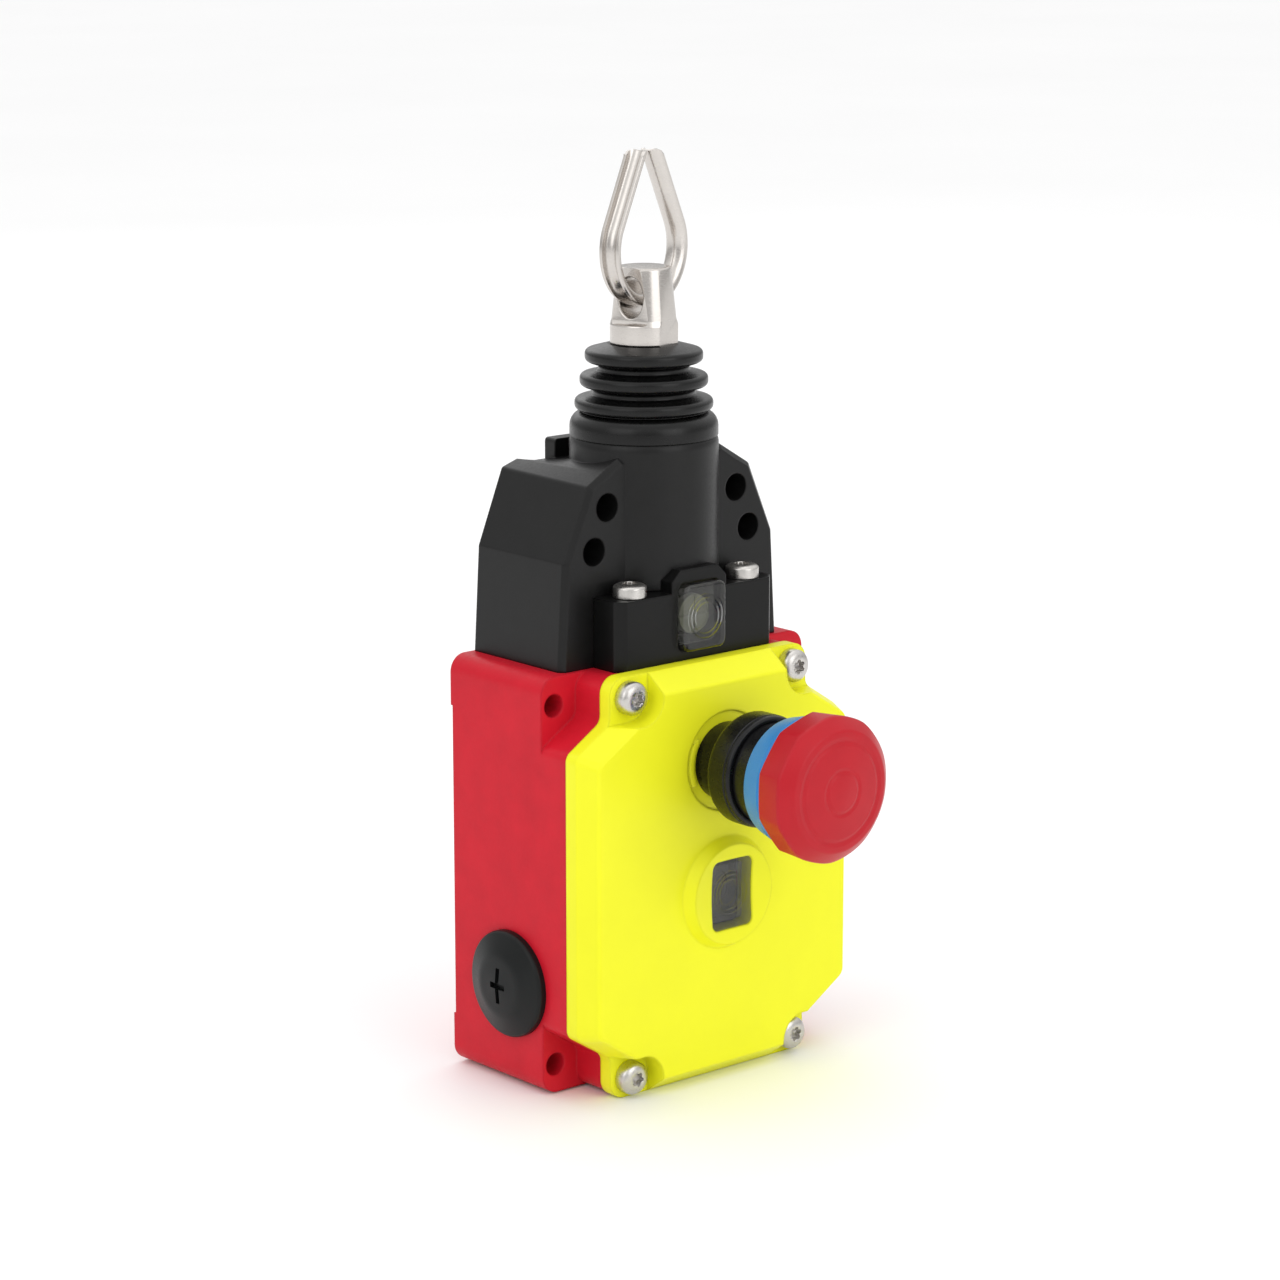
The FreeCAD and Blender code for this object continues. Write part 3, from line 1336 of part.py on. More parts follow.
os.makedirs("parts", exist_ok=True)
for name, make in NODES.items():
    shape = make()
    if not shape.isValid():
        raise ValueError(name + " is not a valid shape")
    print("%-24s solids %2d volume %9.1f" % (name, len(shape.Solids), shape.Volume))
    shape.exportStep("parts/" + name + ".step")
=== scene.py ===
import json
import math

import bmesh
import bpy
from bpy.props import FloatProperty, FloatVectorProperty as Colour, IntProperty, PointerProperty
from mathutils import Matrix, Vector


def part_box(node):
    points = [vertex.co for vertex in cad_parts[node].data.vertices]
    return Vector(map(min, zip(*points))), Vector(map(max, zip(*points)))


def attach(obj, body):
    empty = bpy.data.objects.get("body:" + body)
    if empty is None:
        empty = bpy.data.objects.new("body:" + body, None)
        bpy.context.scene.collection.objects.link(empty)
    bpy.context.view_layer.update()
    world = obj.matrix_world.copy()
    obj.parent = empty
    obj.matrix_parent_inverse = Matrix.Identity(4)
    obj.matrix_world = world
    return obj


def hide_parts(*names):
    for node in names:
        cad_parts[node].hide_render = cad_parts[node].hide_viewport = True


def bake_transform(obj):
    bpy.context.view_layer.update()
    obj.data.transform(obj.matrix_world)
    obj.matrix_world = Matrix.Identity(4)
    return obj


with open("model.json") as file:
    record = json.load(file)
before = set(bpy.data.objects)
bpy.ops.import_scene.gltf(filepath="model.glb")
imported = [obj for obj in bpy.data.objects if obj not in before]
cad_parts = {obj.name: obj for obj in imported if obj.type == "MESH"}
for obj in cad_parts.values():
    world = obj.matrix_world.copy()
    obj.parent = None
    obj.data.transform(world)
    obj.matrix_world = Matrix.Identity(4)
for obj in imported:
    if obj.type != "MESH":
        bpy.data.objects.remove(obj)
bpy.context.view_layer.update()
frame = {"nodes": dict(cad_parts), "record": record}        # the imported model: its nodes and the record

bl_info = {
    "name": "Rope Pull Switch",
    "version": (1, 0, 0),
    "blender": (4, 5, 0),
    "location": "3D View > Sidebar > Rope Switch",
    "description": "Finishes, turned and swept pieces, light and camera for a rope pull switch",
    "category": "Object",
}

MM = 0.001
TAU = 2 * math.pi

# Places that the finer pieces share with the solids, in millimetres
ROD_Y = -23.9               # axis of the rod, the boot, the nut and the spring
PANEL_Y = -55.3             # front of the cover
BUTTON_Z = 29.6             # axis of the stop button
COLLAR_LENGTH = 16.2        # from the cover's front to the collar's front
RING_GAP = 6.6              # from the collar's front to the blue ring
RING_DEPTH = 8.0
TOWER_TOP = 114.2           # the boot's seat on the head
NUT_Z = 131.5               # base of the eye nut
THIMBLE_LOW = 142.4         # lowest point of the thimble's middle line
COVER_SCREWS = ((27.2, 49.0), (-27.2, 49.0), (27.2, -49.0), (-27.2, -49.0))    # X and Z
COVER_SEAT_Y = -49.0
BLOCK_SCREWS = (18.85, -18.85)                  # X
BLOCK_SCREW_Y = -40.2
BLOCK_TOP_Z = 71.65
SPRING_TOP_Z = 104.2
SPRING_LOW_Z = 80.4
FLOOR_Z = -54.35            # just under the housing

# Turns from X towards Y, in degrees
NUT_TURN = 15.0
THIMBLE_TURN = 12.0

# The panes with moulded rings, and the radii between which the rings lie, in millimetres
RINGED_PANES = ("cover_window", "head_window")
RINGS_FROM, RINGS_TO = 3.4, 6.0

AXIS_R = 1e-6               # a turned point nearer to the axis than this, in millimetres, lies on it


def linear(code):
    """Scene-linear red, green and blue of an sRGB colour given as six hex digits."""
    parts = [int(code[i:i + 2], 16) / 255 for i in (0, 2, 4)]
    return tuple(c / 12.92 if c <= 0.04045 else ((c + 0.055) / 1.055) ** 2.4 for c in parts)


def per_mm(size):
    """Noise scale whose blotches measure this many millimetres."""
    return 1 / (size * MM)


class RopeSwitchSizes(bpy.types.PropertyGroup):
    """Sizes of the pieces that are turned, swept or repeated here."""

    bellows_top_r: FloatProperty(
        name="Top ridge", description="Radius of the bellows' top ridge", default=14.9 * MM, min=0.012,
        max=0.016, unit="LENGTH")
    bellows_low_r: FloatProperty(
        name="Lowest ridge", description="Radius of the bellows' lowest ridge", default=17.5 * MM, min=0.016,
        max=0.018, unit="LENGTH")
    cap_flats: IntProperty(
        name="Cap flats", description="Number of grip flats round the cap", default=10, min=6, max=24)
    cap_groove: FloatProperty(
        name="Cap groove depth", description="Depth of the two fine rings in the cap's face",
        default=0.3 * MM, min=0.0, max=0.001, unit="LENGTH")
    sheet: FloatProperty(
        name="Thimble sheet", description="Thickness of the sheet that the thimble is rolled from",
        default=0.9 * MM, min=0.0004, max=0.0012, unit="LENGTH")
    spring_turns: FloatProperty(
        name="Spring turns", description="Turns of the rope spring", default=6.0, min=3.0, max=9.0)
    screw_seed: IntProperty(
        name="Screw seed", description="Picks how far each screw's recess is turned", default=4, min=0)


class RopeSwitchColours(bpy.types.PropertyGroup):
    """Colours of the shell and of the button, scene-linear."""

    shell: Colour(name="Housing", description="Powder coat of the housing", subtype="COLOR",
                  min=0, max=1, default=linear("c61a2b"))
    cover: Colour(name="Cover", description="Signal yellow of the front cover", subtype="COLOR",
                  min=0, max=1, default=linear("efef26"))
    cap: Colour(name="Cap", description="Red of the mushroom cap", subtype="COLOR",
                min=0, max=1, default=linear("b41623"))
    ring: Colour(name="Reset ring", description="Blue of the ring behind the cap", subtype="COLOR",
                 min=0, max=1, default=linear("2c80c6"))
    floor: Colour(name="Floor", description="Pale floor", subtype="COLOR",
                  min=0, max=1, default=linear("fafafa"))


class RopeSwitchLight(bpy.types.PropertyGroup):
    """Strengths of the studio's soft lamps."""

    key: FloatProperty(name="Key lamp", description="Soft lamp in front", default=3.6, min=0, unit="POWER")
    side: FloatProperty(name="Side lamp", description="Soft lamp at left", default=3.0, min=0, unit="POWER")
    top: FloatProperty(name="Top lamp", description="Soft lamp overhead", default=2.0, min=0, unit="POWER")
    back: FloatProperty(name="Back lamp", description="Soft lamp behind", default=2.0, min=0, unit="POWER")
    room: FloatProperty(name="Room", description="Strength of the white room overhead", default=1.12, min=0)
    horizon: FloatProperty(name="Horizon", description="Strength near the horizon", default=0.5, min=0)


# Materials

MIX_FACTOR, MIX_A, MIX_B, MIX_COLOUR = 0, 6, 7, 2     # sockets of a Mix node that is set to colours
NOISE_LOW, NOISE_HIGH = 0.3, 0.7                      # most of a noise's values lie between these
WHITE = (1.0, 1.0, 1.0, 1.0)


def add(tree, kind, settings=None, links=None):
    """Adds a node, sets its sockets and properties by name or number, and links its inputs."""
    node = tree.nodes.new(kind)
    for key, value in (settings or {}).items():
        if isinstance(key, str) and hasattr(node, key) and key not in node.inputs:
            setattr(node, key, value)
        else:
            node.inputs[key].default_value = value
    for key, socket in (links or {}).items():
        tree.links.new(socket, node.inputs[key])
    return node


def blank_material(name):
    """A material without nodes, its tree, and the place of each point on the object."""
    material = bpy.data.materials.new(name)
    material.use_nodes = True
    tree = material.node_tree
    tree.nodes.clear()
    return material, tree, add(tree, "ShaderNodeTexCoord").outputs["Object"]


def shade(colour, factor):
    """An opaque colour, made darker or lighter."""
    return tuple(min(1.0, c * factor) for c in colour) + (1.0,)


def close_surface(tree, colour, drift, share, fine, gloss, gloss_drift, relief_mm, settings, links=None):
    """Ends a tree: one pattern makes the colour drift, a finer one gives the relief and the uneven gloss."""
    tint = add(tree, "ShaderNodeMix", {"data_type": "RGBA", MIX_A: shade(colour, 1 - drift),
                                       MIX_B: shade(colour, 1 + drift)}, {MIX_FACTOR: share})
    rough = add(tree, "ShaderNodeMapRange", {"From Min": NOISE_LOW, "From Max": NOISE_HIGH,
                                             "To Min": gloss - gloss_drift, "To Max": gloss + gloss_drift},
                {"Value": fine})
    relief = add(tree, "ShaderNodeBump", {"Strength": 1.0, "Distance": relief_mm * MM},
                 {"Height": fine, **(links or {})})
    shader = add(tree, "ShaderNodeBsdfPrincipled", settings,
                 {"Base Color": tint.outputs[MIX_COLOUR], "Roughness": rough.outputs["Result"],
                  "Normal": relief.outputs["Normal"]})
    add(tree, "ShaderNodeOutputMaterial", None, {"Surface": shader.outputs["BSDF"]})


def moulded(name, colour, drift=0.06, drift_mm=14.0, grain_mm=0.5, relief_mm=0.01, gloss=0.4,
            gloss_drift=0.06, shine=0.5, edge_mm=0.0):
    """Coated or moulded surface: slow drift of colour, fine grain in relief, uneven gloss, softened edges."""
    material, tree, place = blank_material(name)
    slow = add(tree, "ShaderNodeTexNoise", {"Scale": per_mm(drift_mm), "Detail": 5.0, "Roughness": 0.6},
               {"Vector": place}).outputs["Fac"]
    grain = add(tree, "ShaderNodeTexNoise", {"Scale": per_mm(grain_mm), "Detail": 3.0, "Roughness": 0.55},
                {"Vector": place}).outputs["Fac"]
    spread = add(tree, "ShaderNodeMapRange", {"From Min": NOISE_LOW, "From Max": NOISE_HIGH},
                 {"Value": slow}).outputs["Result"]
    links = {}
    if edge_mm:
        soft = add(tree, "ShaderNodeBevel", {"samples": 6, "Radius": edge_mm * MM})
        links["Normal"] = soft.outputs["Normal"]
    close_surface(tree, colour, drift, spread, grain, gloss, gloss_drift, relief_mm,
                  {"Specular IOR Level": shine}, links)
    return material


def worked_metal(name, colour, drift=0.05, mark_mm=0.4, relief_mm=0.003, gloss=0.3, gloss_drift=0.07,
                 stretch=(1.0, 1.0, 1.0), cloud_mm=5.0):
    """Bare or plated metal: tool marks stretched along one way, with their relief and uneven gloss."""
    material, tree, place = blank_material(name)
    marks = add(tree, "ShaderNodeMapping", {"vector_type": "POINT", "Scale": stretch}, {"Vector": place})
    fine = add(tree, "ShaderNodeTexNoise", {"Scale": per_mm(mark_mm), "Detail": 3.0, "Roughness": 0.6},
               {"Vector": marks.outputs["Vector"]}).outputs["Fac"]
    slow = add(tree, "ShaderNodeTexNoise", {"Scale": per_mm(cloud_mm), "Detail": 2.0},
               {"Vector": place}).outputs["Fac"]
    close_surface(tree, colour, drift, slow, fine, gloss, gloss_drift, relief_mm, {"Metallic": 1.0})
    return material


def clear_pane(name, tint, gloss, pitch_mm, relief_mm=0.12, rise=4.0, least=0.04):
    """Clear plastic with moulded rings: sight passes, and sheen grows at grazing angles and on the rings."""
    material, tree, place = blank_material(name)
    height = None
    for node in RINGED_PANES:
        low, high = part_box(node)
        front = ((low[0] + high[0]) / 2, low[1], (low[2] + high[2]) / 2)
        away = add(tree, "ShaderNodeVectorMath", {"operation": "DISTANCE", 1: front}, {0: place})
        wave = add(tree, "ShaderNodeMath", {"operation": "MULTIPLY", 1: TAU / (pitch_mm * MM)},
                   {0: away.outputs["Value"]})
        ridge = add(tree, "ShaderNodeMath", {"operation": "SINE"}, {0: wave.outputs["Value"]})
        band = add(tree, "ShaderNodeMath", {"operation": "COMPARE", 1: (RINGS_FROM + RINGS_TO) / 2 * MM,
                                            2: (RINGS_TO - RINGS_FROM) / 2 * MM}, {0: away.outputs["Value"]})
        rings = add(tree, "ShaderNodeMath", {"operation": "MULTIPLY"},
                    {0: ridge.outputs["Value"], 1: band.outputs["Value"]}).outputs["Value"]
        if height:
            rings = add(tree, "ShaderNodeMath", {"operation": "ADD"}, {0: height, 1: rings}).outputs["Value"]
        height = rings
    relief = add(tree, "ShaderNodeBump", {"Strength": 1.0, "Distance": relief_mm * MM}, {"Height": height})
    through = add(tree, "ShaderNodeBsdfTransparent", {"Color": tint + (1.0,)})
    sheen = add(tree, "ShaderNodeBsdfGlossy", {"Color": WHITE, "Roughness": gloss},
                {"Normal": relief.outputs["Normal"]})
    facing = add(tree, "ShaderNodeLayerWeight", {"Blend": 0.5}, {"Normal": relief.outputs["Normal"]})
    growth = add(tree, "ShaderNodeMath", {"operation": "POWER", 1: rise}, {0: facing.outputs["Facing"]})
    share = add(tree, "ShaderNodeMapRange", {"To Min": least}, {"Value": growth.outputs["Value"]})
    both = add(tree, "ShaderNodeMixShader", None, {0: share.outputs["Result"], 1: through.outputs["BSDF"],
                                                   2: sheen.outputs["BSDF"]})
    add(tree, "ShaderNodeOutputMaterial", None, {"Surface": both.outputs["Shader"]})
    return material


def finishes(colours):
    """How to make each slot's finish: the maker, the material's name, its colour and its settings."""
    return {
        # Die-cast aluminium, powder coated: a fine orange peel, faint mottling and rounded edges
        "body_red": (moulded, "powder_coated_casting", tuple(colours.shell),
                     dict(drift=0.07, drift_mm=9.0, grain_mm=0.9, relief_mm=0.02, gloss=0.42,
                          gloss_drift=0.07, shine=0.15, edge_mm=0.9)),
        # Moulded PBT in signal yellow: smooth and even, with a satin gloss and rounded edges
        "cover_yellow": (moulded, "moulded_pbt_yellow", tuple(colours.cover),
                         dict(drift=0.02, drift_mm=20.0, grain_mm=0.35, relief_mm=0.004, gloss=0.36,
                              gloss_drift=0.05, shine=0.2, edge_mm=0.9)),
        # Die-cast head, black powder coat: satin with a fine peel, and light that catches its edges
        "head_black": (moulded, "black_powder_coated_casting", linear("121212"),
                       dict(drift=0.12, drift_mm=6.0, grain_mm=0.6, relief_mm=0.008, gloss=0.36, shine=0.26,
                            edge_mm=0.7)),
        # Moulded nylon: a shade deeper and smoother than the casting that it sits in
        "block_black": (moulded, "moulded_nylon_block", linear("0d0d0d"),
                        dict(drift=0.1, drift_mm=6.0, grain_mm=0.35, relief_mm=0.006, gloss=0.34, shine=0.2,
                             edge_mm=0.7)),
        # Moulded nylon with a little bloom: slightly greyer than the head
        "plug_black": (moulded, "moulded_nylon_plug", linear("151717"),
                       dict(drift=0.1, drift_mm=5.0, grain_mm=0.35, relief_mm=0.006, gloss=0.36, shine=0.2)),
        # Turned acetal: deep black and smooth, with one soft band of light along each curve
        "collar_black": (moulded, "turned_acetal", linear("0b0b0d"),
                         dict(drift=0.1, drift_mm=4.0, grain_mm=0.8, relief_mm=0.001, gloss=0.3,
                              gloss_drift=0.04, shine=0.3)),
        # Nitrile rubber from a polished mould: the deepest black, with a soft light on every ridge
        "bellows_rubber": (moulded, "moulded_nitrile_rubber", linear("080808"),
                           dict(drift=0.12, drift_mm=5.0, grain_mm=1.2, relief_mm=0.001, gloss=0.3,
                                gloss_drift=0.04, shine=0.3)),
        # Nitrile rubber cut or moulded as a seal: dull dark grey
        "seal_rubber": (moulded, "seal_nitrile_rubber", linear("1c1c1c"),
                        dict(drift=0.1, drift_mm=4.0, grain_mm=0.4, gloss=0.6, gloss_drift=0.08, shine=0.4)),
        # Turned stainless steel: fine rings from the lathe, warm grey
        "stainless": (worked_metal, "turned_stainless_steel", linear("cbc6c1"),
                      dict(drift=0.04, mark_mm=0.12, relief_mm=0.0015, gloss=0.24, gloss_drift=0.05,
                           stretch=(0.08, 0.08, 1.0))),
        # Zinc-plated steel: bright and slightly cloudy
        "screw_steel": (worked_metal, "zinc_plated_steel", linear("c9c6c2"),
                        dict(mark_mm=0.5, relief_mm=0.002, gloss=0.32)),
        # Hard-drawn spring wire: dark grey with short marks
        "spring_steel": (worked_metal, "spring_wire", linear("8c8c8c"),
                         dict(drift=0.1, mark_mm=0.3, gloss=0.32, gloss_drift=0.08)),
        # Turned brass: warm yellow with a soft shine
        "brass": (worked_metal, "turned_brass", linear("c9a24a"), dict(drift=0.1, gloss=0.28)),
        # Clear polycarbonate: seen through, with moulded rings that catch the light
        "clear_lens": (clear_pane, "clear_polycarbonate", linear("e6e6e2"), dict(gloss=0.06, pitch_mm=1.2)),
        # Moulded ABS, grey with a green cast: the even disc behind the head's pane
        "target_plastic": (moulded, "target_abs_grey", linear("74776c"),
                           dict(drift_mm=3.0, grain_mm=0.3, relief_mm=0.004, gloss_drift=0.05)),
        # Moulded ABS in graphite: dark behind the cover's pane, with a faint gloss
        "flag_plastic": (moulded, "flag_abs_graphite", linear("242427"),
                         dict(drift=0.1, drift_mm=3.0, grain_mm=0.3, relief_mm=0.006, gloss=0.35)),
        # Natural acetal: milky white and slippery smooth
        "cam_plastic": (moulded, "cam_acetal_white", linear("dcdad2"),
                        dict(drift=0.03, drift_mm=6.0, grain_mm=0.4, relief_mm=0.005, gloss=0.38,
                             gloss_drift=0.05)),
        # Glass-filled nylon: mid grey and matt, with a visible grain
        "carrier_plastic": (moulded, "carrier_nylon_grey", linear("54575a"),
                            dict(drift_mm=6.0, grain_mm=0.4, gloss=0.5)),
        # Moulded polyamide: the dull bone colour of contact blocks
        "contact_plastic": (moulded, "contact_block_pa", linear("b9b3a4"),
                            dict(drift=0.05, drift_mm=5.0, grain_mm=0.4, relief_mm=0.008, gloss=0.45)),
        # Dyed acetal: orange red, so that the moving plungers stand out from their blocks
        "plunger_plastic": (moulded, "plunger_pom", linear("c8452f"),
                            dict(drift=0.05, drift_mm=4.0, grain_mm=0.4, relief_mm=0.005, gloss=0.36,
                                 gloss_drift=0.05)),
        # Moulded cap: satin red, the same gloss all over
        "cap_red": (moulded, "moulded_cap_red", tuple(colours.cap),
                    dict(drift=0.04, drift_mm=8.0, grain_mm=0.4, relief_mm=0.004, gloss=0.38,
                         gloss_drift=0.05, shine=0.25)),
        # Moulded ABS in clear blue: a little glossier than the cap
        "ring_blue": (moulded, "moulded_ring_blue", tuple(colours.ring),
                      dict(drift=0.05, drift_mm=5.0, grain_mm=0.4, relief_mm=0.003, gloss=0.32,
                           gloss_drift=0.05, shine=0.35)),
    }


made = {}       # the finishes made so far, by slot


def finish(slot):
    """The material for a slot, made the first time it is asked for."""
    if slot not in made:
        make, name, colour, settings = finishes(bpy.context.scene.rope_switch_colours)[slot]
        made[slot] = make(name, colour, **settings)
    return made[slot]


# Shapes

def rounded(points, radii, closed, steps=6):
    """Corner points in a plane, each one replaced by an arc of its own radius."""
    out = []
    last = len(points) - 1
    for i, (corner, radius) in enumerate(zip(points, radii)):
        if radius <= 0 or (not closed and i in (0, last)):
            out.append(tuple(corner))
            continue
        here = Vector(corner)
        back = (Vector(points[i - 1]) - here).normalized()
        ahead = (Vector(points[(i + 1) % len(points)]) - here).normalized()
        half = back.angle(ahead) / 2
        centre = here + (back + ahead).normalized() * (radius / math.sin(half))
        arm = here + back * (radius / math.tan(half)) - centre
        end = here + ahead * (radius / math.tan(half)) - centre
        turn = math.atan2(arm.x * end.y - arm.y * end.x, arm.dot(end))
        for k in range(steps + 1):
            angle = turn * k / steps
            out.append((centre.x + arm.x * math.cos(angle) - arm.y * math.sin(angle),
                        centre.y + arm.x * math.sin(angle) + arm.y * math.cos(angle)))
    return out


def turned(points, axis, centre, steps=96, closed=False, radius_at=None):
    """A skin turned from (radius, height) pairs, in millimetres, about an axis along Y or Z."""
    bm = bmesh.new()
    rings = []
    for r, h in points:
        ring = []
        for k in range(steps if r > AXIS_R else 1):
            angle = TAU * k / steps
            reach = radius_at(r, h, angle) if radius_at and r > AXIS_R else r
            a, b = reach * math.cos(angle) + centre[0], reach * math.sin(angle) + centre[1]
            ring.append(bm.verts.new(Vector((a, h, b) if axis == "Y" else (a, b, h)) * MM))
        rings.append(ring)
    following = rings[1:] + rings[:1] if closed else rings[1:]
    for low, high in zip(rings, following):
        for k in range(steps):
            n = (k + 1) % steps
            if len(low) == 1:
                bm.faces.new((low[0], high[n], high[k]))
            elif len(high) == 1:
                bm.faces.new((low[k], low[n], high[0]))
            else:
                bm.faces.new((low[k], low[n], high[n], high[k]))
    bmesh.ops.recalc_face_normals(bm, faces=bm.faces)
    return bm


def lofted(rings):
    """A closed skin through rings of points, in millimetres, with both ends filled."""
    bm = bmesh.new()
    rows = [[bm.verts.new(Vector(point) * MM) for point in ring] for ring in rings]
    for low, high in zip(rows, rows[1:]):
        for k in range(len(low)):
            n = (k + 1) % len(low)
            bm.faces.new((low[k], low[n], high[n], high[k]))
    bm.faces.new(rows[0])
    bm.faces.new(rows[-1])
    bmesh.ops.recalc_face_normals(bm, faces=bm.faces)
    return bm


def cut_away(piece, tools):
    """Cuts each tool from a piece, one after the other, and takes the tools away."""
    for tool in tools:
        cutter = mesh_object("tool", tool)
        cut = piece.modifiers.new("cut", "BOOLEAN")
        cut.operation = "DIFFERENCE"
        cut.solver = "EXACT"
        cut.object = cutter
        graph = bpy.context.evaluated_depsgraph_get()
        mesh = bpy.data.meshes.new_from_object(piece.evaluated_get(graph))
        piece.modifiers.remove(cut)
        piece.data = mesh
        bpy.data.objects.remove(cutter)


def mesh_object(name, source):
    """A linked object from a bmesh or a mesh."""
    if isinstance(source, bmesh.types.BMesh):
        mesh = bpy.data.meshes.new(name)
        source.to_mesh(mesh)
        source.free()
    else:
        mesh = source
        mesh.name = name
    piece = bpy.data.objects.new(name, mesh)
    bpy.context.scene.collection.objects.link(piece)
    return piece


def settle(piece, slot, body, nodes, sharp=35.0):
    """Smooth shading, the finish of a slot, a body, and hiding the CAD nodes that the piece stands for."""
    mesh = piece.data
    mesh.shade_smooth()
    mesh.set_sharp_from_angle(angle=math.radians(sharp))
    mesh.materials.clear()
    mesh.materials.append(finish(slot))
    if body:
        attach(piece, body)
    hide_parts(*nodes)
    return piece


def new_tree(name, inputs):
    """A Geometry Nodes tree with named inputs, its group nodes and each input's identifier."""
    tree = bpy.data.node_groups.new(name, "GeometryNodeTree")
    tree.is_modifier = True
    tree.interface.new_socket("Geometry", in_out="INPUT", socket_type="NodeSocketGeometry")
    tree.interface.new_socket("Geometry", in_out="OUTPUT", socket_type="NodeSocketGeometry")
    keys = {label: tree.interface.new_socket(label, in_out="INPUT", socket_type=kind).identifier
            for label, kind in inputs}
    return tree, add(tree, "NodeGroupInput").outputs, keys


def end_tree(tree, geometry, material):
    """Realises the instances, sets the material and closes the tree."""
    real = add(tree, "GeometryNodeRealizeInstances", None, {"Geometry": geometry})
    coated = add(tree, "GeometryNodeSetMaterial", {"Material": material},
                 {"Geometry": real.outputs["Geometry"]})
    add(tree, "NodeGroupOutput", None, {"Geometry": coated.outputs["Geometry"]})


def grow(name, start, tree, keys, values):
    """The plain mesh that a tree makes from a starting mesh, with its inputs set."""
    holder = mesh_object(name + "_start", start)
    modifier = holder.modifiers.new("shape", "NODES")
    modifier.node_group = tree
    for label, value in values.items():
        modifier[keys[label]] = value
    graph = bpy.context.evaluated_depsgraph_get()
    result = bpy.data.meshes.new_from_object(holder.evaluated_get(graph))
    holder.modifiers.remove(modifier)
    bpy.data.objects.remove(holder)
    return result


def points_mesh(places, edges=()):
    """A mesh of loose points, or of points joined by edges, in metres."""
    mesh = bpy.data.meshes.new("points")
    mesh.from_pydata([Vector(p) * MM for p in places], list(edges), [])
    return mesh


# Screws

def star(angle, lobes=6, depth=0.17):
    """Outline of a lobed recess, as a share of its mean radius."""
    return 1 + depth * math.cos(lobes * angle)


def hexagon(angle):
    """Outline of a hexagon socket, as a share of half its width across flats."""
    return 1 / math.cos((angle + math.pi / 6) % (math.pi / 3) - math.pi / 6)


def screw_mesh(head_r, head_h, crown, shank_r, length, recess_r, recess_depth, outline):
    """One screw standing on its seat at z = 0, head up: shank, head and recess as one skin."""
    steps, arch = 72, 8
    point, edge = 0.35, 0.2             # chamfers at the shank's end and under the head
    mouth, cone = 0.12, 0.3             # the recess starts this far down, and ends in a cone this deep
    rim, draft = recess_r * 1.09, 0.98  # where the crown ends, and how the recess narrows
    side = head_h - crown
    floor = head_h - recess_depth
    profile = [(0, -length), (shank_r - point, -length), (shank_r, -length + point), (shank_r, 0),
               (head_r - edge, 0), (head_r, edge), (head_r, side)]
    for k in range(1, arch + 1):
        turn = math.pi / 2 * k / arch
        profile.append((rim + (head_r - rim) * math.cos(turn), side + crown * math.sin(turn)))
    recess = [(recess_r, head_h - mouth), (recess_r * draft, floor)]
    profile += recess + [(0, floor - cone)]

    def radius_at(r, h, angle):
        return r * outline(angle) if (r, h) in recess else r

    bm = turned(profile, "Z", (0, 0), steps, radius_at=radius_at)
    mesh = bpy.data.meshes.new("screw")
    bm.to_mesh(mesh)
    bm.free()
    return mesh


def place_screws(name, one, places, least, most, seed, body, node):
    """Puts one screw on every point, each turned by chance within limits."""
    master = mesh_object(name + "_one", one)
    tree, given, keys = new_tree(name, (("Screw", "NodeSocketObject"), ("Least Turn", "NodeSocketVector"),
                                        ("Most Turn", "NodeSocketVector"), ("Seed", "NodeSocketInt")))
    screw = add(tree, "GeometryNodeObjectInfo", {"As Instance": True}, {"Object": given["Screw"]})
    chance = add(tree, "FunctionNodeRandomValue", {"data_type": "FLOAT_VECTOR"},
                 {0: given["Least Turn"], 1: given["Most Turn"], "Seed": given["Seed"]})
    rows = add(tree, "GeometryNodeInstanceOnPoints", None,
               {"Points": given["Geometry"], "Instance": screw.outputs["Geometry"],
                "Rotation": chance.outputs["Value"]})
    end_tree(tree, rows.outputs["Instances"], finish("screw_steel"))
    mesh = grow(name, points_mesh(places), tree, keys,
                {"Screw": master, "Least Turn": least, "Most Turn": most, "Seed": seed})
    bpy.data.objects.remove(master)
    return settle(mesh_object(name, mesh), "screw_steel", body, [node])


def studio_world(overhead, horizon):
    """A white room that is dimmer towards the horizon, which gives bare metal its darker bands."""
    world = bpy.data.worlds.new("studio")
    world.use_nodes = True
    tree = world.node_tree
    tree.nodes.clear()
    way = add(tree, "ShaderNodeTexCoord").outputs["Generated"]
    height = add(tree, "ShaderNodeSeparateXYZ", None, {"Vector": way}).outputs["Z"]
    glow = add(tree, "ShaderNodeMapRange", {"interpolation_type": "SMOOTHSTEP", "From Min": 0.0,
                                            "From Max": 0.7, "To Min": horizon, "To Max": overhead},
               {"Value": height})
    sky = add(tree, "ShaderNodeBackground", {"Color": WHITE}, {"Strength": glow.outputs["Result"]})
    add(tree, "ShaderNodeOutputWorld", None, {"Surface": sky.outputs["Background"]})
    return world


class ROPESWITCH_OT_finishes(bpy.types.Operator):
    """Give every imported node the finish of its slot"""

    bl_idname = "rope_switch.finishes"
    bl_label = "Finishes"

    def execute(self, context):
        slots = {row["node"]: row["material_slot"] for row in frame["record"]["subparts"]}
        for name, node in frame["nodes"].items():
            for place in node.material_slots:
                place.material = finish(slots[name])
        return {"FINISHED"}


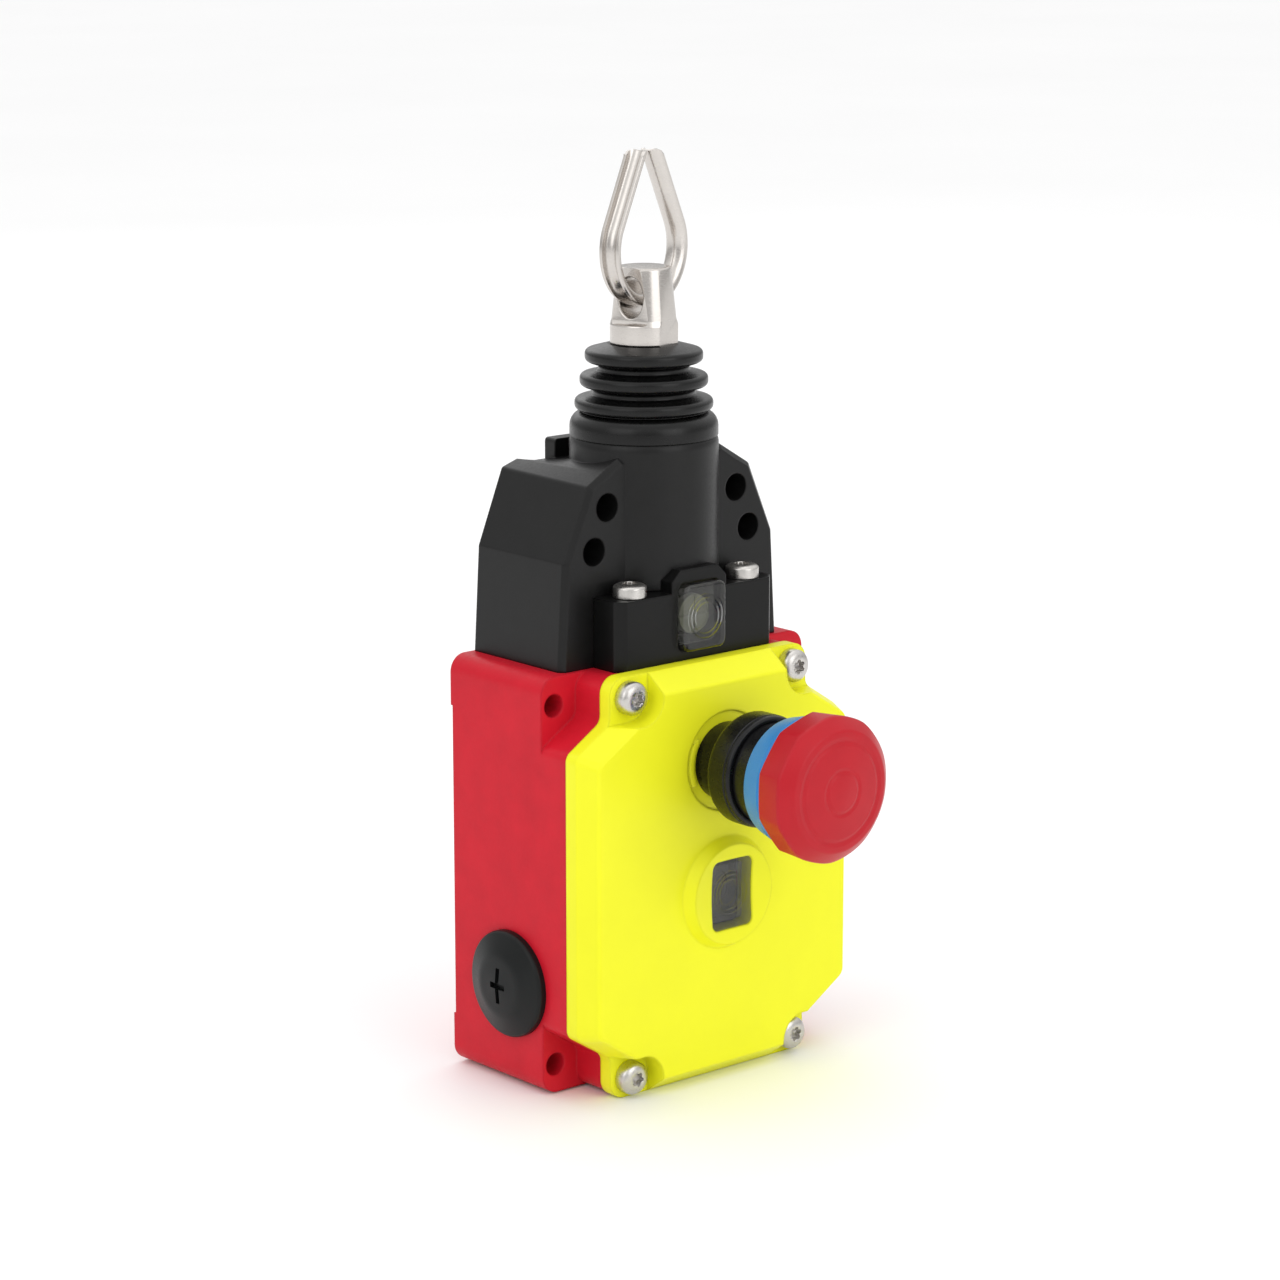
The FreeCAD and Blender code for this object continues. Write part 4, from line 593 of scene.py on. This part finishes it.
class ROPESWITCH_OT_bellows(bpy.types.Operator):
    """Turn the folded rubber boot, which reaches from the head up to the nut"""

    bl_idname = "rope_switch.bellows"
    bl_label = "Bellows"

    def execute(self, context):
        sizes = context.scene.rope_switch_sizes
        low_r, top_r = sizes.bellows_low_r / MM, sizes.bellows_top_r / MM
        ridges = ((low_r, 2.3), ((low_r + top_r) / 2, 8.3), (top_r, 14.4))      # radius, height over the seat
        grooves = ((12.9, 5.1), (11.5, 11.2))
        ridge_half, ridge_round = 1.35, 1.3
        groove_half, groove_round = 0.7, 0.65

        # The foot's skirt, which goes down over the tower's cone and swells out above it
        points = [(18.45, -5.85), (18.8, -5.6), (18.8, 0.35), (14.9, 0.35)]
        radii = [0.1, 0.1, 3.7, 0.15]
        for i, (r, h) in enumerate(ridges):
            points += [(r, h - ridge_half), (r, h + ridge_half)]
            radii += [ridge_round, ridge_round]
            if i < len(grooves):
                r, h = grooves[i]
                points += [(r, h - groove_half), (r, h + groove_half)]
                radii += [groove_round, groove_round]

        # The crown under the nut, the mouth round the rod, the smooth inside and the seat
        points += [(9.2, 17.3), (5.2, 17.3), (5.2, 15.7), (9.9, 14.7)]
        points += [(10.7, 1.0), (14.25, 0.05), (14.25, -2.18), (15.4, -2.18)]
        radii += [0.4, 0.2, 0.3, 0.5, 0.5, 0.3, 0.2, 0.1]
        outline = [(r, h + TOWER_TOP) for r, h in rounded(points, radii, True)]
        piece = mesh_object("folded_boot", turned(outline, "Z", (0, ROD_Y), 128, closed=True))
        settle(piece, "bellows_rubber", None, ["bellows"])
        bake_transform(piece)
        return {"FINISHED"}


class ROPESWITCH_OT_rope_spring(bpy.types.Operator):
    """Wind the spring that pulls against the rope"""

    bl_idname = "rope_switch.rope_spring"
    bl_label = "Rope spring"

    def execute(self, context):
        wire, coil = 1.2, 10.8
        rise = SPRING_TOP_Z - SPRING_LOW_Z - 2 * wire
        tree, given, keys = new_tree("wound_spring", (
            ("Coil Radius", "NodeSocketFloat"), ("Wire Radius", "NodeSocketFloat"),
            ("Rise", "NodeSocketFloat"), ("Turns", "NodeSocketFloat")))
        line = add(tree, "GeometryNodeCurveSpiral", {"Resolution": 48},
                   {"Rotations": given["Turns"], "Start Radius": given["Coil Radius"],
                    "End Radius": given["Coil Radius"], "Height": given["Rise"]})
        section = add(tree, "GeometryNodeCurvePrimitiveCircle", {"Resolution": 16},
                      {"Radius": given["Wire Radius"]})
        tube = add(tree, "GeometryNodeCurveToMesh", {"Fill Caps": True},
                   {"Curve": line.outputs["Curve"], "Profile Curve": section.outputs["Curve"]})
        end_tree(tree, tube.outputs["Mesh"], finish("spring_steel"))
        mesh = grow("wound_spring", points_mesh([(0, 0, 0)]), tree, keys,
                    {"Coil Radius": coil * MM, "Wire Radius": wire * MM, "Rise": rise * MM,
                     "Turns": context.scene.rope_switch_sizes.spring_turns})
        mesh.transform(Matrix.Translation(Vector((0, ROD_Y, SPRING_LOW_Z + wire)) * MM))
        piece = settle(mesh_object("wound_spring", mesh), "spring_steel", None, ["rope_spring"], 60.0)
        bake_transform(piece)
        return {"FINISHED"}


class ROPESWITCH_OT_eye_nut(bpy.types.Operator):
    """Turn the nut, mill its eye faces and wrench flats, and open its eye"""

    bl_idname = "rope_switch.eye_nut"
    bl_label = "Eye nut"

    def execute(self, context):
        bore_r, bore_depth = 4.05, 5.0
        base_r, base_h, shoulder_r, shoulder_h, top_r, top = 8.6, 4.9, 8.15, 6.3, 6.75, 19.4
        profile = [(0, bore_depth), (bore_r, bore_depth), (bore_r, 0), (base_r, 0), (base_r, base_h),
                   (shoulder_r, shoulder_h), (top_r, top), (0, top)]
        skin = rounded(profile, [0, 0, 0, 0.5, 0.3, 0.3, 0.8, 0], False)
        piece = mesh_object("milled_eye_nut", turned(skin, "Z", (0, 0), 160))

        # Two faces that stand on a round ledge, and two wrench flats over the whole height
        beyond = 1.0
        reach, above = base_r + beyond, top + beyond
        face, ledge, ledge_round, wrench = 6.1, 5.2, 1.4, 7.5
        tools = []
        for quarter in range(4):
            if quarter % 2:
                outline = [(wrench, -beyond), (reach, -beyond), (reach, above), (wrench, above)]
            else:
                outline = rounded([(face, ledge), (reach, ledge), (reach, above), (face, above)],
                                  [ledge_round, 0, 0, 0], True)
            tool = lofted([[(x, y, z) for x, z in outline] for y in (-reach, reach)])
            tool.transform(Matrix.Rotation(math.pi / 2 * quarter, 4, "Z"))
            tools.append(tool)

        # The eye, which widens in a round lip at both faces
        half_width, half_height, middle, lip = 3.6, 5.1, 12.0, 0.7
        proud = 0.05            # the lip ends this far outside the face, so the cut leaves no sliver
        arc, steps = 8, 96
        stations = [(reach, lip)]
        for k in range(arc, -1, -1):
            turn = math.pi / 2 * k / arc
            stations.append((face + proud - lip + lip * math.sin(turn), lip - lip * math.cos(turn)))
        stations += [(-x, wider) for x, wider in reversed(stations)]
        turns = [TAU * k / steps for k in range(steps)]
        tools.append(lofted([[(x, (half_width + wider) * math.cos(turn),
                               middle + (half_height + wider) * math.sin(turn)) for turn in turns]
                             for x, wider in stations]))
        cut_away(piece, tools)
        piece.data.transform(Matrix.Translation(Vector((0, ROD_Y, NUT_Z)) * MM)
                             @ Matrix.Rotation(math.radians(NUT_TURN), 4, "Z"))
        settle(piece, "stainless", "rope_rod", ["eye_nut"], 30.0)
        return {"FINISHED"}


class ROPESWITCH_OT_thimble(bpy.types.Operator):
    """Roll the half-round channel along its teardrop path"""

    bl_idname = "rope_switch.thimble"
    bl_label = "Thimble"

    def execute(self, context):
        sheet = context.scene.rope_switch_sizes.sheet
        bend, length = 12.9, 39.6           # middle line: radius of the round end, and length to its point
        short, apart = 2.0, 2.05            # how far the ends stop short of the point, and lie off the middle
        outside, corner = 3.0, 2.4          # outside radius of the channel, and of its ends' corners
        centre_z = THIMBLE_LOW + bend
        tip = Vector((apart, THIMBLE_LOW + length - short))
        run = length - bend
        lean = math.asin(bend / math.hypot(tip.x, run)) - math.atan2(tip.x, run)
        steps, end_steps = 48, 8
        down = Vector((math.sin(lean), -math.cos(lean)))
        half = [tuple(tip + down * (corner * k / end_steps)) for k in range(end_steps + 1)]
        for k in range(steps + 1):
            angle = lean - (math.pi / 2 + lean) * k / steps
            half.append((bend * math.cos(angle), centre_z + bend * math.sin(angle)))
        path = half + [(-x, z) for x, z in reversed(half[:-1])]
        places = [(x, 0, z) for x, z in path]
        start = points_mesh(places, [(i, i + 1) for i in range(len(places) - 1)])
        tree, given, keys = new_tree("rolled_channel", (("Middle Radius", "NodeSocketFloat"),
                                                        ("Offset", "NodeSocketVector")))
        line = add(tree, "GeometryNodeMeshToCurve", None, {"Mesh": given["Geometry"]})
        section = add(tree, "GeometryNodeCurveArc",
                      {"mode": "RADIUS", "Resolution": 20, "Start Angle": 0.0, "Sweep Angle": math.pi},
                      {"Radius": given["Middle Radius"]})
        shifted = add(tree, "GeometryNodeTransform", None,
                      {"Geometry": section.outputs["Curve"], "Translation": given["Offset"]})
        channel = add(tree, "GeometryNodeCurveToMesh", {"Fill Caps": False},
                      {"Curve": line.outputs["Curve"], "Profile Curve": shifted.outputs["Geometry"]})
        end_tree(tree, channel.outputs["Mesh"], finish("stainless"))
        mesh = grow("rolled_channel", start, tree, keys,
                    {"Middle Radius": outside * MM - sheet / 2, "Offset": (0.0, -outside / 2 * MM, 0.0)})

        # Draws the corners of both ends back along the channel, so that they are round
        middle_r = outside - sheet / MM / 2
        for vert in mesh.vertices:
            side = math.copysign(1.0, vert.co.x)
            below = (Vector((tip.x, tip.y)) - Vector((abs(vert.co.x), vert.co.z)) / MM).dot(-down)
            from_lip = middle_r * math.acos(min(1.0, abs(vert.co.y) / MM / middle_r))
            if below < corner and from_lip < corner:
                pull = (corner - math.sqrt(corner ** 2 - (corner - from_lip) ** 2)) * (1 - below / corner)
                vert.co += Vector((down.x * side, 0, down.y)) * (pull * MM)
        mesh.transform(Matrix.Translation((0, ROD_Y * MM, 0))
                       @ Matrix.Rotation(math.radians(THIMBLE_TURN), 4, "Z"))
        piece = mesh_object("rolled_channel", mesh)
        wall = piece.modifiers.new("sheet", "SOLIDIFY")
        wall.thickness = sheet
        wall.offset = 0.0
        rim = piece.modifiers.new("rim", "BEVEL")
        rim_share = 0.3
        rim.width = sheet * rim_share
        rim.segments = 3
        rim.limit_method = "ANGLE"
        rim.angle_limit = math.radians(50)
        graph = bpy.context.evaluated_depsgraph_get()
        whole = bpy.data.meshes.new_from_object(piece.evaluated_get(graph))
        piece.modifiers.clear()
        piece.data = whole
        settle(piece, "stainless", "thimble", ["thimble"], 40.0)
        return {"FINISHED"}


class ROPESWITCH_OT_screws(bpy.types.Operator):
    """Place the cover's four pan heads and the indicator block's two socket heads"""

    bl_idname = "rope_switch.screws"
    bl_label = "Outside screws"

    def execute(self, context):
        seed = context.scene.rope_switch_sizes.screw_seed
        pan = screw_mesh(head_r=4.25, head_h=3.9, crown=1.7, shank_r=2.0, length=14.8, recess_r=1.75,
                         recess_depth=1.7, outline=star)
        pan.transform(Matrix.Rotation(math.pi / 2, 4, "X"))
        place_screws("cover_pan_heads", pan, [(x, COVER_SEAT_Y, z) for x, z in COVER_SCREWS],
                     (0.0, -math.pi, 0.0), (0.0, math.pi, 0.0), seed, "switch_body", "cover_screws")
        socket = screw_mesh(head_r=4.25, head_h=3.5, crown=1.1, shank_r=2.0, length=26.3, recess_r=1.75,
                            recess_depth=1.8, outline=hexagon)
        place_screws("block_socket_heads", socket, [(x, BLOCK_SCREW_Y, BLOCK_TOP_Z) for x in BLOCK_SCREWS],
                     (0.0, 0.0, -math.pi), (0.0, 0.0, math.pi), seed, "switch_body", "block_screws")
        return {"FINISHED"}


class ROPESWITCH_OT_collar(bpy.types.Operator):
    """Turn the collar that carries the stop button"""

    bl_idname = "rope_switch.collar"
    bl_label = "Button collar"

    def execute(self, context):
        bore_r, shank_r, neck_r, bulge_r, sleeve_bore_r = 5.05, 8.5, 9.9, 14.3, 12.8
        front = PANEL_Y - COLLAR_LENGTH
        shank_rear = PANEL_Y + 9.2
        seat = PANEL_Y + 0.6                        # bottom of the cover's shallow recess
        overlap, travel, spare = 2.3, 5.0, 0.6      # of the sleeve in the collar
        floor = front + overlap + travel + spare

        # The shank and the neck, which flares into the bulge
        points = [(bore_r, shank_rear), (shank_r, shank_rear), (shank_r, seat), (neck_r, seat),
                  (neck_r, PANEL_Y - 4.6), (bulge_r, PANEL_Y - 8.8)]
        radii = [0.2, 0.3, 0, 0.1, 1.0, 2.0]

        # The fine groove, the front lip and the room for the sleeve
        points += [(bulge_r, front + 1.9), (14.05, front + 1.75), (14.05, front + 1.45), (14.2, front + 1.3),
                   (14.0, front), (sleeve_bore_r, front), (sleeve_bore_r, floor), (bore_r, floor)]
        radii += [0.1, 0.05, 0.05, 0.1, 0.9, 0.1, 0.2, 0.1]
        outline = rounded(points, radii, True)
        piece = mesh_object("turned_collar", turned(outline, "Y", (0, BUTTON_Z), 128, closed=True))
        settle(piece, "collar_black", "switch_body", ["button_collar"])
        return {"FINISHED"}


class ROPESWITCH_OT_button(bpy.types.Operator):
    """Shape the mushroom cap with its grip flats and rings, and the blue ring behind it"""

    bl_idname = "rope_switch.button"
    bl_label = "Cap and reset ring"

    def execute(self, context):
        sizes = context.scene.rope_switch_sizes
        flats = sizes.cap_flats
        groove = sizes.cap_groove / MM
        back = PANEL_Y - COLLAR_LENGTH - RING_GAP - RING_DEPTH
        front = back - 12.0
        dome_r, dome_drop = 15.0, 1.7       # the face falls back by this much out to this radius
        rim_r, well_r, hub_r, stem_r = 18.4, 15.2, 8.0, 5.05
        slope = dome_drop / dome_r

        def face(r):
            """Place of the cap's face at a radius."""
            return front + slope * r

        # The face, with its two fine rings
        points, radii = [(0.0, front), (2.5, face(2.5))], [0, 2.0]
        ring_half = 0.9
        for middle in (5.4, 12.6):
            inner, outer = middle - ring_half, middle + ring_half
            points += [(inner, face(inner)), (middle, face(middle) + groove), (outer, face(outer))]
            radii += [1.2, 0.8, 1.2]

        # The rim, and the hollow behind it with the hub that sits on the stem
        well, hub_back, stem_end = front + 6.0, back + 1.0, front + 4.5
        points += [(dome_r, front + dome_drop), (rim_r, front + 4.6), (rim_r, back), (well_r, back),
                   (well_r, well), (hub_r, well), (hub_r, hub_back), (stem_r, hub_back), (stem_r, stem_end),
                   (0.0, stem_end)]
        radii += [1.6, 1.5, 0.5, 0.3, 1.0, 0.3, 0.2, 0.2, 0.2, 0]

        plain_r, skirt_r, skirt = 13.2, 15.4, front + 2.5       # inside these, the cap stays round
        flats_front, flats_back = front + 3.5, back + 1.5       # the flats grow deeper between these
        round_r, deepest = 18.5, 1.4
        sharp, base_r, lost = 2.6, 17, 0.2      # the blend's sharpness, its base, and what it takes off

        def radius_at(r, h, angle):
            """The smaller of the rim and the grip flat, blended softly into each other."""
            if r < plain_r or (r < skirt_r and h > skirt):
                return r
            share = (h - flats_front) / (flats_back - flats_front)
            apothem = round_r - deepest * max(0.0, share)
            turn = (angle + math.pi / flats) % (TAU / flats) - math.pi / flats
            edge = apothem / math.cos(turn)
            both = math.exp(sharp * (base_r - r)) + math.exp(sharp * (base_r - edge))
            return base_r + lost - math.log(both) / sharp

        outline = rounded(points, radii, False)
        piece = mesh_object("mushroom_cap", turned(outline, "Y", (0, BUTTON_Z), 200, radius_at=radius_at))
        settle(piece, "cap_red", "button_cap", ["button_cap"], 50.0)

        # The ring, which the black sleeve enters from behind and whose spigot enters the cap
        bore_r, sleeve_r, spigot = 10.9, 12.7, back - 1.8
        rear = back + RING_DEPTH
        step = rear - 2.0
        points = [(bore_r, step), (sleeve_r, step), (sleeve_r, rear), (well_r, rear), (16.8, back + 1.7),
                  (16.2, back), (well_r, back), (well_r, spigot), (bore_r, spigot)]
        outline = rounded(points, [0.2, 0, 0, 0.5, 0.3, 0.3, 0, 0.2, 0.2], True)
        piece = mesh_object("blue_ring", turned(outline, "Y", (0, BUTTON_Z), 160, closed=True))
        settle(piece, "ring_blue", "button_cap", ["reset_ring"])
        return {"FINISHED"}


class ROPESWITCH_OT_stage(bpy.types.Operator):
    """Lay the pale floor, set the soft lamps and aim the camera"""

    bl_idname = "rope_switch.stage"
    bl_label = "Floor, light and camera"

    def execute(self, context):
        scene = context.scene
        light = scene.rope_switch_light

        # The floor: wide enough to meet the horizon, and painted matt, with hardly any drift of colour
        bm = bmesh.new()
        bmesh.ops.create_grid(bm, x_segments=40, y_segments=40, size=60.0)
        floor = mesh_object("floor", bm)
        floor.data.transform(Matrix.Translation((0, 0, FLOOR_Z * MM)))
        paint = moulded("painted_floor", tuple(scene.rope_switch_colours.floor), drift=0.01, drift_mm=400.0,
                        grain_mm=30.0, relief_mm=0.0, gloss=0.6, gloss_drift=0.02, shine=0.2)
        floor.data.materials.append(paint)

        # Square lamps, in metres: name, place, side and power
        aim = Vector((0, ROD_Y, 45)) * MM
        lamps = (("key_lamp", (0.15, -1.35, 0.55), 0.9, light.key),
                 ("side_lamp", (-1.35, -0.35, 0.75), 1.0, light.side),
                 ("top_lamp", (0.1, 0.1, 1.5), 1.2, light.top),
                 ("back_lamp", (0.5, 1.4, 0.8), 1.0, light.back))
        for name, place, size, power in lamps:
            data = bpy.data.lights.new(name, "AREA")
            data.shape = "SQUARE"
            data.size = size
            data.energy = power
            lamp = bpy.data.objects.new(name, data)
            lamp.location = place
            lamp.rotation_euler = (aim - Vector(place)).to_track_quat("-Z", "Y").to_euler()
            scene.collection.objects.link(lamp)
        scene.world = studio_world(light.room, light.horizon)
        scene.view_settings.view_transform = "Standard"

        # The camera, as the photo's straight edges give it
        data = bpy.data.cameras.new("camera")
        data.lens = 107.08
        data.sensor_width = 36.0
        data.clip_end = 200.0
        camera = bpy.data.objects.new("camera", data)
        spot = Vector((-622.76, -737.78, 268.72)) * MM
        target = Vector((-1.30, -23.9, 55.33)) * MM
        camera.location = spot
        camera.rotation_euler = (target - spot).to_track_quat("-Z", "Y").to_euler()
        scene.collection.objects.link(camera)
        scene.camera = camera
        return {"FINISHED"}


class ROPESWITCH_PT_panel(bpy.types.Panel):
    """Lists the switch's sizes, colours and steps"""

    bl_idname = "ROPESWITCH_PT_panel"
    bl_label = "Rope Pull Switch"
    bl_space_type = "VIEW_3D"
    bl_region_type = "UI"
    bl_category = "Rope Switch"

    def draw(self, context):
        scene = context.scene
        for group in (scene.rope_switch_sizes, scene.rope_switch_colours, scene.rope_switch_light):
            box = self.layout.box()
            for name in group.__annotations__:
                box.prop(group, name)
        for step in steps:
            self.layout.operator(step.bl_idname)


groups = {"rope_switch_sizes": RopeSwitchSizes, "rope_switch_colours": RopeSwitchColours,
          "rope_switch_light": RopeSwitchLight}
steps = (ROPESWITCH_OT_stage, ROPESWITCH_OT_finishes, ROPESWITCH_OT_bellows, ROPESWITCH_OT_rope_spring,
         ROPESWITCH_OT_eye_nut, ROPESWITCH_OT_thimble, ROPESWITCH_OT_screws, ROPESWITCH_OT_collar,
         ROPESWITCH_OT_button)
classes = tuple(groups.values()) + steps + (ROPESWITCH_PT_panel,)


def register():
    """Registers the classes and puts the settings on the scene."""
    for one in classes:
        bpy.utils.register_class(one)
    for name, group in groups.items():
        setattr(bpy.types.Scene, name, PointerProperty(type=group))


def unregister():
    """Takes the settings off the scene and the classes out again."""
    for name in groups:
        delattr(bpy.types.Scene, name)
    for one in reversed(classes):
        bpy.utils.unregister_class(one)


def main():
    """Makes the pieces in order."""
    register()
    bpy.ops.rope_switch.stage()
    bpy.ops.rope_switch.finishes()
    bpy.ops.rope_switch.bellows()
    bpy.ops.rope_switch.rope_spring()
    bpy.ops.rope_switch.eye_nut()
    bpy.ops.rope_switch.thimble()
    bpy.ops.rope_switch.screws()
    bpy.ops.rope_switch.collar()
    bpy.ops.rope_switch.button()


if __name__ == "__main__":
    main()
